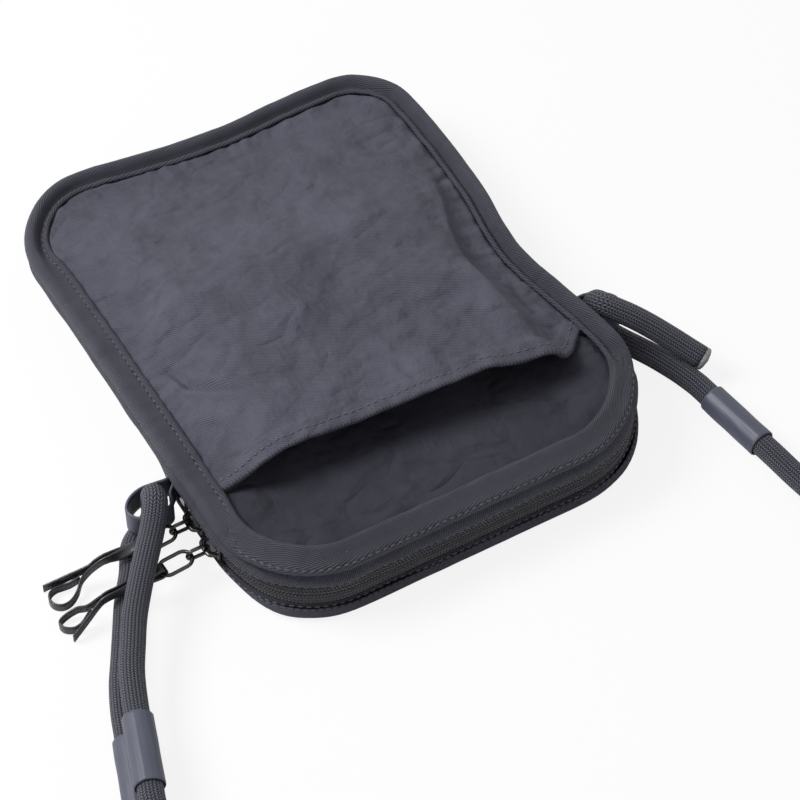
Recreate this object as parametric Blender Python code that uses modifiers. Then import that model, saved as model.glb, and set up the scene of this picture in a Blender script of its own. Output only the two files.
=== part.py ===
"""Crossbody pouch lying on its back, with a zip round its mouth, a slip pocket and a rope strap.

Run with: blender --background --python part.py
Metres, +Z up. X is the pouch's width, -Y its mouth, +Y its closed end, z = 0 the table.
The origin is the middle of the flat back panel.
"""
import math

import bmesh
import bpy
from mathutils import Matrix, Vector

# Pouch body
POUCH_WIDTH = 0.172
POUCH_LENGTH = 0.220
NEAR_RADIUS = 0.040
FAR_LEFT_RADIUS = 0.034
FAR_RIGHT_RADIUS = 0.025
PANEL_THICK = 0.0010
CLEARANCE = 0.00035

# Wall heights, from the table up
BACK_EDGE_Z = 0.0061
LOWER_GUSSET_TOP = 0.0086
ZIP_Z = 0.0136
UPPER_GUSSET_LOW = 0.0184
UPPER_GUSSET_TOP = 0.0280
INNER_PANEL_Z = 0.0290
POCKET_PANEL_Z = 0.0305
BINDING_Z = 0.0321
BINDING_ROLL = 0.0011
BINDING_WIDTH = 0.0110
BINDING_THICK = 0.0011
BINDING_LEG = 0.0270
GUSSET_INSET = 0.0019
GUSSET_THICK = 0.0012
GUSSET_TURN_IN = 0.0006
BACK_BINDING_WIDTH = 0.0052
BACK_BINDING_THICK = 0.0012
BACK_PANEL_THICK = 0.0014
LINING_THICK = 0.0006

# How the soft body has settled
FAR_DROP_SHARE = 0.15
DROP_START = 0.010
LEFT_TUCK = 0.0060
LEFT_TUCK_FADE = 0.020
LEFT_TUCK_END_SHARES = (0.70, 0.95)
LEFT_LEAN = 0.0032
LEFT_LEAN_TOP = 0.0250
LEFT_LEAN_RUN = 0.0164
LEFT_LEAN_SHARES = (-0.37, -0.12)
NEAR_BULGE = 0.0008
CORNER_BULGE = 0.0022
RIGHT_BULGE = 0.0040
BULGE_RISE = 0.0095
NEAR_BULGE_SHARES = (0.64, 0.955)
RIGHT_BULGE_SHARES = (0.55, 0.76)
CORNER_SHARES = (0.50, 1.0)
RIGHT_EASE_SHARE = 0.2

# Mouth, slip pocket and fold line
MOUTH_TO_FOLD = 0.0478
FOLD_SKEW = 0.0030
FOLD_SKEW_SPREAD = 0.018
FOLD_GAP = 0.0003
HEM_BACK = 0.0008
HEM_WIDTH = 0.0075
HEM_THICK = 0.0009
MOUTH_CROWN = 0.0118
MOUTH_CROWN_RUN = 0.030
CROWN_END_SHARE = 0.30
CROWN_FALL_START = 0.090
CROWN_FALL_END = 0.030
NEAR_DISH = 0.0042
HEM_SINK = 0.0020
FAR_PANEL_DISH = 0.0006

# Zip
MOUTH_TO_ZIP_START = 0.0700
ZIP_TAPE_INSET = 0.0033
ZIP_TAPE_THICK = 0.0008
ZIP_TAPE_REACH = 0.0070
COIL_HEIGHT = 0.0022
COIL_THICK = 0.0020
COIL_GAP = 0.0003
STOP_LENGTH = 0.0040
STOP_HEIGHT = 0.0056
STOP_THICK = 0.0007

# Sliders
SLIDER_LENGTH = 0.0110
SLIDER_HEIGHT = 0.0090
SLIDER_PLATE = 0.0010
SLIDER_POST = 0.0018
SLIDER_POST_HEIGHT = 0.0015
MOUTH_TO_SLIDER_A = 0.0557
SLIDER_SPACING = 0.0132
SLIDER_A_TRAVEL = 0.0006
SLIDER_B_TRAVEL = 0.0035
SLIDER_BACK_GAP = 0.0009
BRIDGE_LENGTH = 0.0080
BRIDGE_RISE = 0.0026
BRIDGE_BAR = 0.0013
WIRE_DIAMETER = 0.0012
LINK_LENGTH = 0.0084
LINK_WIDTH = 0.0046
RING_LENGTH = 0.0130
RING_WIDTH = 0.0071
RING_DROP = 0.0015

# Leather pull loops
STRIP_WIDTH = 0.0034
STRIP_THICK = 0.0009
STRIP_GAP = 0.0007
STRIP_WRAP_GAP = 0.0011

# Side tabs
MOUTH_TO_TAB = 0.0675
TAB_LOW_Z = 0.0102
TAB_WIDTH = 0.0098
TAB_THICK = 0.0012
TAB_REACH = 0.0210
TAB_SPREAD = 0.0068
TAB_LEAN = 0.0005

# Strap
CORD_DIAMETER = 0.0094
SLEEVE_LENGTH = 0.029
SLEEVE_WALL = 0.00065
SLEEVE_CLEARANCE = 0.0003
SEAL_LENGTH = 0.0022
COIL_DIAMETER = 0.102
COIL_PITCH = 0.0108
COIL_LAYER = 0.0103
COIL_TURNS = 2
CLIMB_TURNS = 0.25
COIL_CENTRE = (-0.2150, -0.2200)
FLOOR_GAP = 0.0001
LEAD_LENGTH = 0.0094
STUB_LENGTH = 0.0030

# Cord routes, chosen by hand along the strap as it lies
LEFT_TAIL = [
    (-0.0960, -0.0423, 0.0150), (-0.0960, -0.0425, 0.0195), (-0.0964, -0.0437, 0.0240),
    (-0.0976, -0.0480, 0.0264), (-0.0996, -0.0515, 0.0255), (-0.1035, -0.0568, 0.0233),
    (-0.1110, -0.0660, 0.0213), (-0.1184, -0.0755, 0.0199), (-0.1254, -0.0853, 0.0187),
    (-0.1310, -0.0950, 0.0180), (-0.1362, -0.1045, 0.0175), (-0.1398, -0.1130, 0.0172),
    (-0.1433, -0.1228, 0.0171), (-0.1523, -0.1503, 0.0171), (-0.1547, -0.1580, 0.0171),
    (-0.1550, -0.1656, 0.0154), (-0.1529, -0.1745, 0.0110), (-0.1495, -0.1828, 0.0066),
    (-0.1464, -0.1905, 0.0049), (-0.1432, -0.1985, 0.0048)]
LEFT_STRAND = [
    (-0.0960, -0.0423, 0.0150), (-0.0961, -0.0421, 0.0112), (-0.0972, -0.0423, 0.0079),
    (-0.1000, -0.0431, 0.0057), (-0.1042, -0.0447, 0.0049), (-0.1078, -0.0476, 0.0048),
    (-0.1106, -0.0522, 0.0048), (-0.1142, -0.0588, 0.0048), (-0.1210, -0.0687, 0.0048),
    (-0.1274, -0.0800, 0.0048), (-0.1336, -0.0910, 0.0048), (-0.1392, -0.1010, 0.0050),
    (-0.1440, -0.1120, 0.0055), (-0.1466, -0.1195, 0.0058), (-0.1478, -0.1230, 0.0058),
    (-0.1573, -0.1512, 0.0058), (-0.1592, -0.1565, 0.0056), (-0.1612, -0.1655, 0.0050),
    (-0.1616, -0.1750, 0.0048), (-0.1606, -0.1850, 0.0048), (-0.1594, -0.1950, 0.0048),
    (-0.1587, -0.2050, 0.0048), (-0.1586, -0.2103, 0.0048)]
RIGHT_TAIL = [
    (0.0960, -0.0423, 0.0150), (0.0960, -0.0425, 0.0195), (0.0960, -0.0437, 0.0240),
    (0.0966, -0.0480, 0.0264), (0.0992, -0.0514, 0.0257), (0.1040, -0.0562, 0.0236),
    (0.1100, -0.0620, 0.0197), (0.1160, -0.0688, 0.0154), (0.1205, -0.0747, 0.0122),
    (0.1233, -0.0787, 0.0105)]
RIGHT_STRAND = [
    (0.0960, -0.0423, 0.0150), (0.0961, -0.0421, 0.0112), (0.0972, -0.0425, 0.0079),
    (0.0996, -0.0441, 0.0057), (0.1020, -0.0472, 0.0049), (0.1042, -0.0520, 0.0048),
    (0.1070, -0.0576, 0.0048), (0.1100, -0.0638, 0.0048), (0.1128, -0.0706, 0.0048),
    (0.1151, -0.0786, 0.0054), (0.1168, -0.0864, 0.0058), (0.1174, -0.0904, 0.0058),
    (0.1179, -0.0943, 0.0058), (0.1218, -0.1230, 0.0058), (0.1229, -0.1311, 0.0058),
    (0.1243, -0.1400, 0.0052), (0.1259, -0.1490, 0.0048), (0.1278, -0.1630, 0.0048),
    (0.1275, -0.1810, 0.0048), (0.1225, -0.2030, 0.0048), (0.1120, -0.2260, 0.0048),
    (0.0950, -0.2490, 0.0048), (0.0730, -0.2680, 0.0048), (0.0450, -0.2820, 0.0048),
    (0.0130, -0.2900, 0.0048), (-0.0210, -0.2920, 0.0048), (-0.0560, -0.2900, 0.0048),
    (-0.0900, -0.2840, 0.0048), (-0.1170, -0.2765, 0.0048), (-0.1330, -0.2690, 0.0054),
    (-0.1445, -0.2600, 0.0074), (-0.1525, -0.2500, 0.0108), (-0.1570, -0.2410, 0.0140),
    (-0.1585, -0.2345, 0.0150), (-0.1586, -0.2297, 0.0151)]

# Each sleeve: the route it is on, and the straight stretch's first point in that route
SLEEVES = {
    "left_front": (LEFT_TAIL, 12), "left_back": (LEFT_STRAND, 14), "right": (RIGHT_STRAND, 12)}

# How each leather pull lies beyond its ring: (out, along) shares of the strip's reach
PULL_SHAPES = {
    "a": {"neck_shares": (0.553, 0.078), "tail_shares": (1.0, 0.184), "drop_shares": (0.36, 0.82),
          "loop_shares": [(0.658, 0.047), (0.737, -0.026), (0.83, -0.08), (0.92, -0.09),
                          (0.985, -0.045), (1.003, 0.03), (0.972, 0.098), (0.90, 0.128),
                          (0.82, 0.122), (0.755, 0.107), (0.70, 0.092)]},
    "b": {"neck_shares": (0.642, -0.01), "tail_shares": (1.0, -0.105), "drop_shares": (0.57, 0.94),
          "loop_shares": [(0.76, 0.055), (0.837, 0.13), (0.958, 0.14), (1.037, 0.095),
                          (1.026, 0.015), (0.945, -0.034), (0.865, -0.036), (0.80, -0.022),
                          (0.745, -0.004)]}}
STRIP_REACH = 0.038
PULL_HIGH_Z = 0.0120
PULL_LOW_Z = 0.0021

# How finely round things are drawn
CORNER_STEPS = 7
SIDE_STEPS = 8
END_STEPS = 4
COLUMN_SHARES = (0.0, 0.055, 0.115, 0.17, 0.23, 0.31, 0.41, 0.54, 0.76)
HEM_SKIP = 4
PANEL_ROWS = 12
NEAR_ROWS = 7
ROUTE_STEP = 0.0090
LOOP_POINTS = 24
RING_SIDES = 8
RING_POINTS = 20
SLEEVE_SIDES = 16
NECK_STEPS = 5
WRAP_STEPS = 4

# Bumps of the settled outline: where along the side, how wide and how far out, as shares of the
# length for the right side and of the width for the closed end
RIGHT_BUMP_SHARES = [(-0.040, 0.125, -0.0255), (-0.31, 0.090, 0.0150), (0.34, 0.15, 0.0065)]
FAR_BUMP_SHARES = [(-0.31, 0.14, 0.0190), (0.05, 0.15, -0.0150)]

HALF_WIDTH = POUCH_WIDTH / 2
HALF_LENGTH = POUCH_LENGTH / 2
CORD_RADIUS = CORD_DIAMETER / 2
FOLD_Y = MOUTH_TO_FOLD - HALF_LENGTH
HEM_Y = FOLD_Y + HEM_BACK
ZIP_START_Y = MOUTH_TO_ZIP_START - HALF_LENGTH
SLIDER_A_Y = MOUTH_TO_SLIDER_A - HALF_LENGTH
SLIDER_B_Y = SLIDER_A_Y - SLIDER_SPACING
TAB_Y = MOUTH_TO_TAB - HALF_LENGTH


# Materials
def surface(name, colour, roughness, metallic=0.0):
    material = bpy.data.materials.new(name)
    material.use_nodes = True
    shader = material.node_tree.nodes["Principled BSDF"]
    shader.inputs["Base Color"].default_value = (*colour, 1.0)
    shader.inputs["Roughness"].default_value = roughness
    shader.inputs["Metallic"].default_value = metallic
    return material


def make_materials():
    return {
        "nylon": surface("black_nylon", (0.072, 0.073, 0.084), 0.72),
        "lining": surface("pocket_lining", (0.060, 0.061, 0.072), 0.78),
        "binding": surface("ribbed_binding", (0.062, 0.063, 0.072), 0.68),
        "tape": surface("zip_tape", (0.045, 0.045, 0.050), 0.80),
        "coil": surface("zip_coil", (0.035, 0.035, 0.040), 0.45),
        "metal": surface("black_metal", (0.030, 0.030, 0.032), 0.18, 1.0),
        "leather": surface("pull_leather", (0.040, 0.040, 0.045), 0.42),
        "satin": surface("tab_leather", (0.085, 0.088, 0.105), 0.38),
        "cord": surface("braided_cord", (0.045, 0.047, 0.052), 0.80),
        "seal": surface("melted_end", (0.260, 0.265, 0.280), 0.45)}


# Outline of the pouch, seen from above, drawn in by an inset
def arc(cx, cy, radius, start, end, steps):
    turns = [math.radians(start + (end - start) * i / steps) for i in range(steps + 1)]
    return [(cx + radius * math.cos(a), cy + radius * math.sin(a)) for a in turns]


def straight(start, end, steps):
    return [tuple(a + (b - a) * i / steps for a, b in zip(start, end)) for i in range(steps)]


def far_outline(inset, start_y=FOLD_Y + FOLD_GAP):
    """From the left side round the closed end to the right side."""
    left, right = FAR_LEFT_RADIUS, FAR_RIGHT_RADIUS
    left_arc = arc(-HALF_WIDTH + left, HALF_LENGTH - left, left - inset, 180, 90, CORNER_STEPS)
    right_arc = arc(HALF_WIDTH - right, HALF_LENGTH - right, right - inset, 90, 0, CORNER_STEPS)
    side = HALF_WIDTH - inset
    points = straight((-side, start_y), left_arc[0], SIDE_STEPS) + left_arc[:-1]
    points += straight(left_arc[-1], right_arc[0], END_STEPS) + right_arc[:-1]
    points += straight(right_arc[-1], (side, start_y), SIDE_STEPS) + [(side, start_y)]
    return points


def near_outline(inset, start_y=FOLD_Y - FOLD_GAP):
    """From the left side round the mouth to the right side."""
    side = HALF_WIDTH - inset
    corner_y = -HALF_LENGTH + NEAR_RADIUS
    reach = NEAR_RADIUS - inset
    left_arc = arc(-HALF_WIDTH + NEAR_RADIUS, corner_y, reach, 180, 270, CORNER_STEPS)
    right_arc = arc(HALF_WIDTH - NEAR_RADIUS, corner_y, reach, 270, 360, CORNER_STEPS)
    steps = max(1, round((start_y - corner_y) / (SIDE_STEPS * GUSSET_INSET)))
    points = straight((-side, start_y), left_arc[0], steps) + left_arc[:-1]
    points += straight(left_arc[-1], right_arc[0], END_STEPS) + right_arc[:-1]
    points += straight(right_arc[-1], (side, start_y), steps) + [(side, start_y)]
    return points


def whole_outline(inset):
    return far_outline(inset, FOLD_Y) + near_outline(inset, FOLD_Y)[-2:0:-1]


def smooth(value, low, high):
    share = min(1.0, max(0.0, (value - low) / (high - low)))
    return share * share * (3 - 2 * share)


def bumps(along, shares, size):
    """How far the sides of the settled outline stand out, at a place along one of them."""
    return sum(push * size * math.exp(-((along / size - at) / spread) ** 2)
               for at, spread, push in shares)


def bulge(x, y, z):
    """How far the walls under the mouth's binding lean out, across and along."""
    lean = min(1, max(0, (BINDING_LEG - z) / BULGE_RISE))
    corner = smooth(x / HALF_WIDTH, *CORNER_SHARES)
    near = smooth(-y / HALF_LENGTH, *NEAR_BULGE_SHARES)
    side = smooth(-y / HALF_LENGTH, *RIGHT_BULGE_SHARES) * (1 - near * RIGHT_EASE_SHARE)
    return RIGHT_BULGE * lean * side * corner, (NEAR_BULGE + CORNER_BULGE * corner) * lean * near


def settle(x, y, z):
    """Where a point of the new pouch comes to lie once the soft body has settled."""
    drop = 1 - FAR_DROP_SHARE * smooth(y, -DROP_START, HALF_LENGTH)
    right = bumps(y, RIGHT_BUMP_SHARES, POUCH_LENGTH) * smooth(x, 0, HALF_WIDTH)
    far = bumps(x, FAR_BUMP_SHARES, POUCH_WIDTH) * smooth(y, 0, HALF_LENGTH)
    tuck = LEFT_TUCK * max(0, 1 - z / LOWER_GUSSET_TOP) * (1 - smooth(-y / HALF_LENGTH, *LEFT_TUCK_END_SHARES))
    tuck += LEFT_LEAN * min(1, max(0, (LEFT_LEAN_TOP - z) / LEFT_LEAN_RUN)) * smooth(y / HALF_LENGTH, *LEFT_LEAN_SHARES)
    tuck *= smooth(-x, 0, HALF_WIDTH) * (1 - smooth(y, HALF_LENGTH - LEFT_TUCK_FADE, HALF_LENGTH))
    across, along = bulge(x, y, z)
    skew = math.exp(-((y - FOLD_Y) / FOLD_SKEW_SPREAD) ** 2) * x / HALF_WIDTH
    return (x + right + across + tuck, y + far - along - FOLD_SKEW * skew, z * drop)


# Meshes
def add_object(name, mesh, material, collection, round_angle=None):
    body = bpy.data.objects.new(name, mesh)
    collection.objects.link(body)
    mesh.materials.clear()
    mesh.materials.append(material)
    if round_angle is not None:
        mesh.shade_smooth()
        mesh.set_sharp_from_angle(angle=math.radians(round_angle))
    return body


def grid_mesh(name, rows, closed=False, skip=None):
    """A sheet of quads through rows of points. skip(row, column) leaves a quad out."""
    sheet = bmesh.new()
    columns = len(rows[0])
    verts = [[sheet.verts.new(point) for point in row] for row in rows]
    for r in range(len(rows) - 1):
        for c in range(columns if closed else columns - 1):
            if skip and skip(r, c):
                continue
            d = (c + 1) % columns
            sheet.faces.new((verts[r][c], verts[r][d], verts[r + 1][d], verts[r + 1][c]))
    loose = [v for v in sheet.verts if not v.link_faces]
    bmesh.ops.delete(sheet, geom=loose, context="VERTS")
    mesh = bpy.data.meshes.new(name)
    sheet.to_mesh(mesh)
    sheet.free()
    return mesh


def shell(name, rows, thick, material, collection, closed=False, skip=None):
    """An open sheet given its thickness, half to each side."""
    body = add_object(name, grid_mesh(name, rows, closed, skip), material, collection, 40)
    wall = body.modifiers.new("thickness", "SOLIDIFY")
    wall.thickness = thick
    wall.offset = 0
    wall.use_even_offset = True
    return body


def band(name, outline, profile, thick, material, collection, closed=False, skip=None):
    """A strip that follows the outline, its section given as (inset, height) points."""
    rows = [[settle(x, y, z) for x, y in outline(inset)] for inset, z in profile]
    return shell(name, rows, thick, material, collection, closed, skip)


def side_at(y, inset, radius, end_y):
    """How far the outline is drawn in at y, beside a rounded end."""
    corner_y = end_y - math.copysign(radius, end_y)
    past = abs(y) - abs(corner_y) if y * end_y > 0 else -1
    if past <= 0:
        return inset
    reach = radius - inset
    return radius - math.sqrt(max(0.0, reach * reach - past * past))


def columns(left, right):
    """Places across a panel, closer together near its sides."""
    middle = (left + right) / 2
    half = [left + (middle - left) * share for share in COLUMN_SHARES]
    return half + [middle] + [left + right - x for x in reversed(half)]


def panel(name, ys, inset, radii, end_y, height, thick, material, collection):
    """A sheet inside the outline, in straight rows, with its height given by a function."""
    rows = []
    for y in ys:
        left = -HALF_WIDTH + side_at(y, inset, radii[0], end_y)
        right = HALF_WIDTH - side_at(y, inset, radii[1], end_y)
        rows.append([settle(x, y, height(x, y)) for x in columns(left, right)])
    return shell(name, rows, thick, material, collection)


def row_places(start, end_y, inset, radius, rows):
    """Heights of a panel's rows: even along its sides, then by angle round its corners."""
    sign = math.copysign(1, end_y)
    corner = end_y - sign * radius
    side_rows = max(2, rows - CORNER_STEPS // 2)
    ys = [start + (corner - start) * i / side_rows for i in range(side_rows)]
    reach = radius - inset
    corner_rows = CORNER_STEPS
    return ys + [corner + sign * reach * math.sin(math.pi / 2 * i / corner_rows) * 0.9995
                 for i in range(corner_rows + 1)]


def lump(name, size, place, bevel=0.0, segments=2):
    """A block, its edges rounded, as a mesh."""
    block = bmesh.new()
    bmesh.ops.create_cube(block, size=1.0)
    bmesh.ops.scale(block, vec=size, verts=block.verts)
    if bevel:
        bmesh.ops.bevel(block, geom=block.edges[:], offset=bevel, segments=segments,
                        profile=0.5, affect="EDGES")
    bmesh.ops.translate(block, vec=place, verts=block.verts)
    mesh = bpy.data.meshes.new(name)
    block.to_mesh(mesh)
    block.free()
    return mesh


def turned(name, inner, outer, length, start, towards, sides):
    """A tube round the line from start towards a point."""
    profile = [(inner, 0), (outer, 0), (outer, length), (inner, length)]
    way = (Vector(towards) - Vector(start)).normalized()
    turn = way.to_track_quat("Z", "Y").to_matrix()
    tube = bmesh.new()
    rings = []
    for radius, along in profile:
        ring = []
        for i in range(sides):
            a = math.tau * i / sides
            local = Vector((radius * math.cos(a), radius * math.sin(a), along))
            ring.append(tube.verts.new(Vector(start) + turn @ local))
        rings.append(ring)
    for k in range(len(rings)):
        low, high = rings[k], rings[(k + 1) % len(rings)]
        for i in range(sides):
            j = (i + 1) % sides
            tube.faces.new((low[i], low[j], high[j], high[i]))
    bmesh.ops.recalc_face_normals(tube, faces=tube.faces)
    mesh = bpy.data.meshes.new(name)
    tube.to_mesh(mesh)
    tube.free()
    return mesh


def joined(body, tool, operation, cutters):
    """A Boolean whose cutter is kept out of the build."""
    tool.hide_render = True
    tool.display_type = "WIRE"
    for owner in list(tool.users_collection):
        owner.objects.unlink(tool)
    cutters.objects.link(tool)
    step = body.modifiers.new(operation.lower(), "BOOLEAN")
    step.operation = operation
    step.solver = "EXACT"
    step.object = tool
    return step


def hang(name, place, pieces, collection):
    """An empty on a joint's axis that carries the pieces turning about it."""
    axis = bpy.data.objects.new(name, None)
    axis.location = place
    collection.objects.link(axis)
    for piece in pieces:
        body = bpy.data.objects[piece]
        body.parent = axis
        body.matrix_parent_inverse = Matrix.Translation(place).inverted()


# Cords
def spline_points(route, step):
    """Points at about one step along a smooth curve through the route's own points."""
    points = [Vector(p) for p in route]
    points = [2 * points[0] - points[1]] + points + [2 * points[-1] - points[-2]]
    dense = []
    for a, b, c, d in zip(points, points[1:], points[2:], points[3:]):
        span = (c - b).length
        before, after = (b - a).length, (d - c).length
        tangent_b = (c - a) * span / (before + span)
        tangent_c = (d - b) * span / (span + after)
        pieces = max(2, math.ceil(LOOP_POINTS * span / (step * SIDE_STEPS)))
        for i in range(pieces):
            t = i / pieces
            dense.append((2 * t ** 3 - 3 * t ** 2 + 1) * b + (t ** 3 - 2 * t ** 2 + t) * tangent_b
                         + (3 * t ** 2 - 2 * t ** 3) * c + (t ** 3 - t ** 2) * tangent_c)
    dense.append(points[-2])
    lengths = [0.0]
    for a, b in zip(dense, dense[1:]):
        lengths.append(lengths[-1] + (b - a).length)
    count = max(2, round(lengths[-1] / step))
    even = []
    k = 0
    for i in range(count + 1):
        target = lengths[-1] * i / count
        while k < len(lengths) - 2 and lengths[k + 1] < target:
            k += 1
        share = (target - lengths[k]) / max(lengths[k + 1] - lengths[k], CLEARANCE / LOOP_POINTS)
        even.append(dense[k].lerp(dense[k + 1], min(1.0, share)))
    return even


def tube(name, points, radius, material, collection, resolution=2, closed=False):
    curve = bpy.data.curves.new(name, "CURVE")
    curve.dimensions = "3D"
    curve.bevel_depth = radius
    curve.bevel_resolution = resolution
    curve.use_fill_caps = not closed
    curve.twist_mode = "MINIMUM"
    line = curve.splines.new("POLY")
    line.points.add(len(points) - 1)
    for spot, point in zip(line.points, points):
        spot.co = (*point, 1.0)
    line.use_cyclic_u = closed
    line.use_smooth = True
    curve.materials.append(material)
    body = bpy.data.objects.new(name, curve)
    collection.objects.link(body)
    return body


def cut_square(points, way):
    """The same line with a short straight start, clear of the strand that it meets in the tab."""
    first = points[0]
    return [first + way * CLEARANCE / 2, first + way * STUB_LENGTH] + points[1:]


def coil_points():
    """Two layers of loops: in along the table, up a layer while turning back, then out on top."""
    cx, cy = COIL_CENTRE
    half = COIL_TURNS / 2
    count = round(COIL_TURNS * LOOP_POINTS)
    points = []
    for i in range(count + 1):
        turn = COIL_TURNS * i / count
        climb = smooth(turn, half - CLIMB_TURNS, half + CLIMB_TURNS)
        radius = COIL_DIAMETER / 2 + COIL_PITCH * (abs(turn - half) - half / 2)
        a = -math.tau * turn
        points.append(Vector((cx + radius * math.cos(a), cy + radius * math.sin(a),
                              CORD_RADIUS + FLOOR_GAP + COIL_LAYER * climb)))
    lead = Vector((0, LEAD_LENGTH, 0))
    return [points[0] + lead] + points + [points[-1] - lead]


def least_self_gap(points, radius):
    """The least gap between stretches of one tube that aren't next to each other."""
    skip = LOOP_POINTS // 2
    least = min((a - b).length for i, a in enumerate(points) for b in points[i + skip:])
    return least - 2 * radius


# Pouch body pieces
def depth(x, y):
    """How far a point is inside the outline."""
    radius = NEAR_RADIUS if y < 0 else FAR_LEFT_RADIUS if x < 0 else FAR_RIGHT_RADIUS
    past_x = abs(x) - HALF_WIDTH + radius
    past_y = abs(y) - HALF_LENGTH + radius
    if past_x > 0 and past_y > 0:
        return radius - math.hypot(past_x, past_y)
    return min(HALF_WIDTH - abs(x), HALF_LENGTH - abs(y))


def crown(x, y):
    """0 under the binding, 1 well inside it."""
    return smooth(depth(x, y) - BINDING_WIDTH - BINDING_ROLL, 0, MOUTH_CROWN_RUN)


def pocket_height(x, y):
    fall = smooth(y, HALF_LENGTH - CROWN_FALL_START, HALF_LENGTH - CROWN_FALL_END)
    rise = MOUTH_CROWN * crown(x, y) * (1 - (1 - CROWN_END_SHARE) * fall)
    near_mouth = 1 - smooth(y, FOLD_Y, FOLD_Y + MOUTH_CROWN_RUN)
    sink = HEM_SINK * near_mouth * smooth(x, HALF_WIDTH * 0.3, HALF_WIDTH * 0.7)
    return POCKET_PANEL_Z + rise - sink * smooth(rise, 0, HEM_SINK)


def near_height(x, y):
    return INNER_PANEL_Z - NEAR_DISH * crown(x, y)


def far_inner_height(x, y):
    reach = 1 - smooth(y, FOLD_Y, FOLD_Y + MOUTH_CROWN_RUN)
    return INNER_PANEL_Z - (FAR_PANEL_DISH + (NEAR_DISH - FAR_PANEL_DISH) * reach) * crown(x, y)


def make_panels(paint, collection):
    far_radii = (FAR_LEFT_RADIUS, FAR_RIGHT_RADIUS)
    near_radii = (NEAR_RADIUS, NEAR_RADIUS)
    rim = GUSSET_INSET + GUSSET_THICK / 4
    far_start = FOLD_Y + FOLD_GAP
    near_start = FOLD_Y - FOLD_GAP
    far_ys = row_places(far_start, HALF_LENGTH, rim, FAR_LEFT_RADIUS, PANEL_ROWS)
    panel("front_panel_far", far_ys, rim, far_radii, HALF_LENGTH, far_inner_height,
          PANEL_THICK, paint["lining"], collection)
    near_ys = row_places(near_start, -HALF_LENGTH, rim, NEAR_RADIUS, NEAR_ROWS)
    panel("front_panel_near", near_ys, rim, near_radii, -HALF_LENGTH, near_height,
          PANEL_THICK, paint["lining"], collection)
    pocket_ys = row_places(HEM_Y, HALF_LENGTH, rim, FAR_LEFT_RADIUS, PANEL_ROWS)
    panel("pocket_panel", pocket_ys, rim, far_radii, HALF_LENGTH, pocket_height,
          PANEL_THICK, paint["nylon"], collection)

    hem_drop = (PANEL_THICK + HEM_THICK) / 2 + CLEARANCE
    rows = []
    for y in (HEM_Y, HEM_Y + HEM_WIDTH):
        row = columns(-HALF_WIDTH + rim, HALF_WIDTH - rim)[HEM_SKIP:-HEM_SKIP]
        rows.append([settle(x, y, pocket_height(x, y) - hem_drop) for x in row])
    shell("pocket_hem", rows, HEM_THICK, paint["nylon"], collection)

    back_inset = BACK_BINDING_WIDTH + BACK_BINDING_THICK / 2 + CLEARANCE
    flat_panel("back_panel", back_inset, BACK_PANEL_THICK, 0, paint["nylon"], collection)
    lining_inset = GUSSET_INSET + GUSSET_THICK + BACK_BINDING_WIDTH
    flat_panel("back_lining", lining_inset, LINING_THICK, BACK_PANEL_THICK + CLEARANCE,
               paint["lining"], collection)


def flat_panel(name, inset, thick, low, material, collection):
    """A flat sheet of the whole outline, with its underside at a given height."""
    sheet = bmesh.new()
    rim = [settle(x, y, 0) for x, y in whole_outline(inset)]
    face = sheet.faces.new([sheet.verts.new((x, y, low)) for x, y, _ in rim])
    grown = bmesh.ops.extrude_face_region(sheet, geom=[face])
    raised = [v for v in grown["geom"] if isinstance(v, bmesh.types.BMVert)]
    bmesh.ops.translate(sheet, vec=(0, 0, thick), verts=raised)
    bmesh.ops.recalc_face_normals(sheet, faces=sheet.faces)
    mesh = bpy.data.meshes.new(name)
    sheet.to_mesh(mesh)
    sheet.free()
    return add_object(name, mesh, material, collection)


def make_bindings(paint, collection):
    roll_top = BINDING_Z + BINDING_ROLL
    half = BINDING_THICK / 2
    edge = BINDING_THICK / 5
    section = [(edge, BINDING_LEG), (-2 * edge, (BINDING_LEG + BINDING_Z) / 2),
               (0, BINDING_Z - half / 4), (2 * half, roll_top - half / 4),
               (BINDING_WIDTH * 0.28, roll_top - half), (BINDING_WIDTH * 0.45, BINDING_Z),
               (BINDING_WIDTH * 0.72, BINDING_Z - half / 4), (BINDING_WIDTH, BINDING_Z + half / 4)]
    band("edge_binding_far", far_outline, section, BINDING_THICK, paint["binding"], collection)
    band("edge_binding_near", near_outline, section, BINDING_THICK, paint["binding"], collection)
    low = BACK_BINDING_THICK / 2 + FLOOR_GAP
    back = [(BACK_BINDING_WIDTH, low), (2 * low, low), (low / 3, 2.4 * low),
            (-low / 2, BACK_EDGE_Z / 2), (0, BACK_EDGE_Z)]
    band("back_binding", whole_outline, back, BACK_BINDING_THICK, paint["binding"], collection,
         closed=True)


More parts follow.
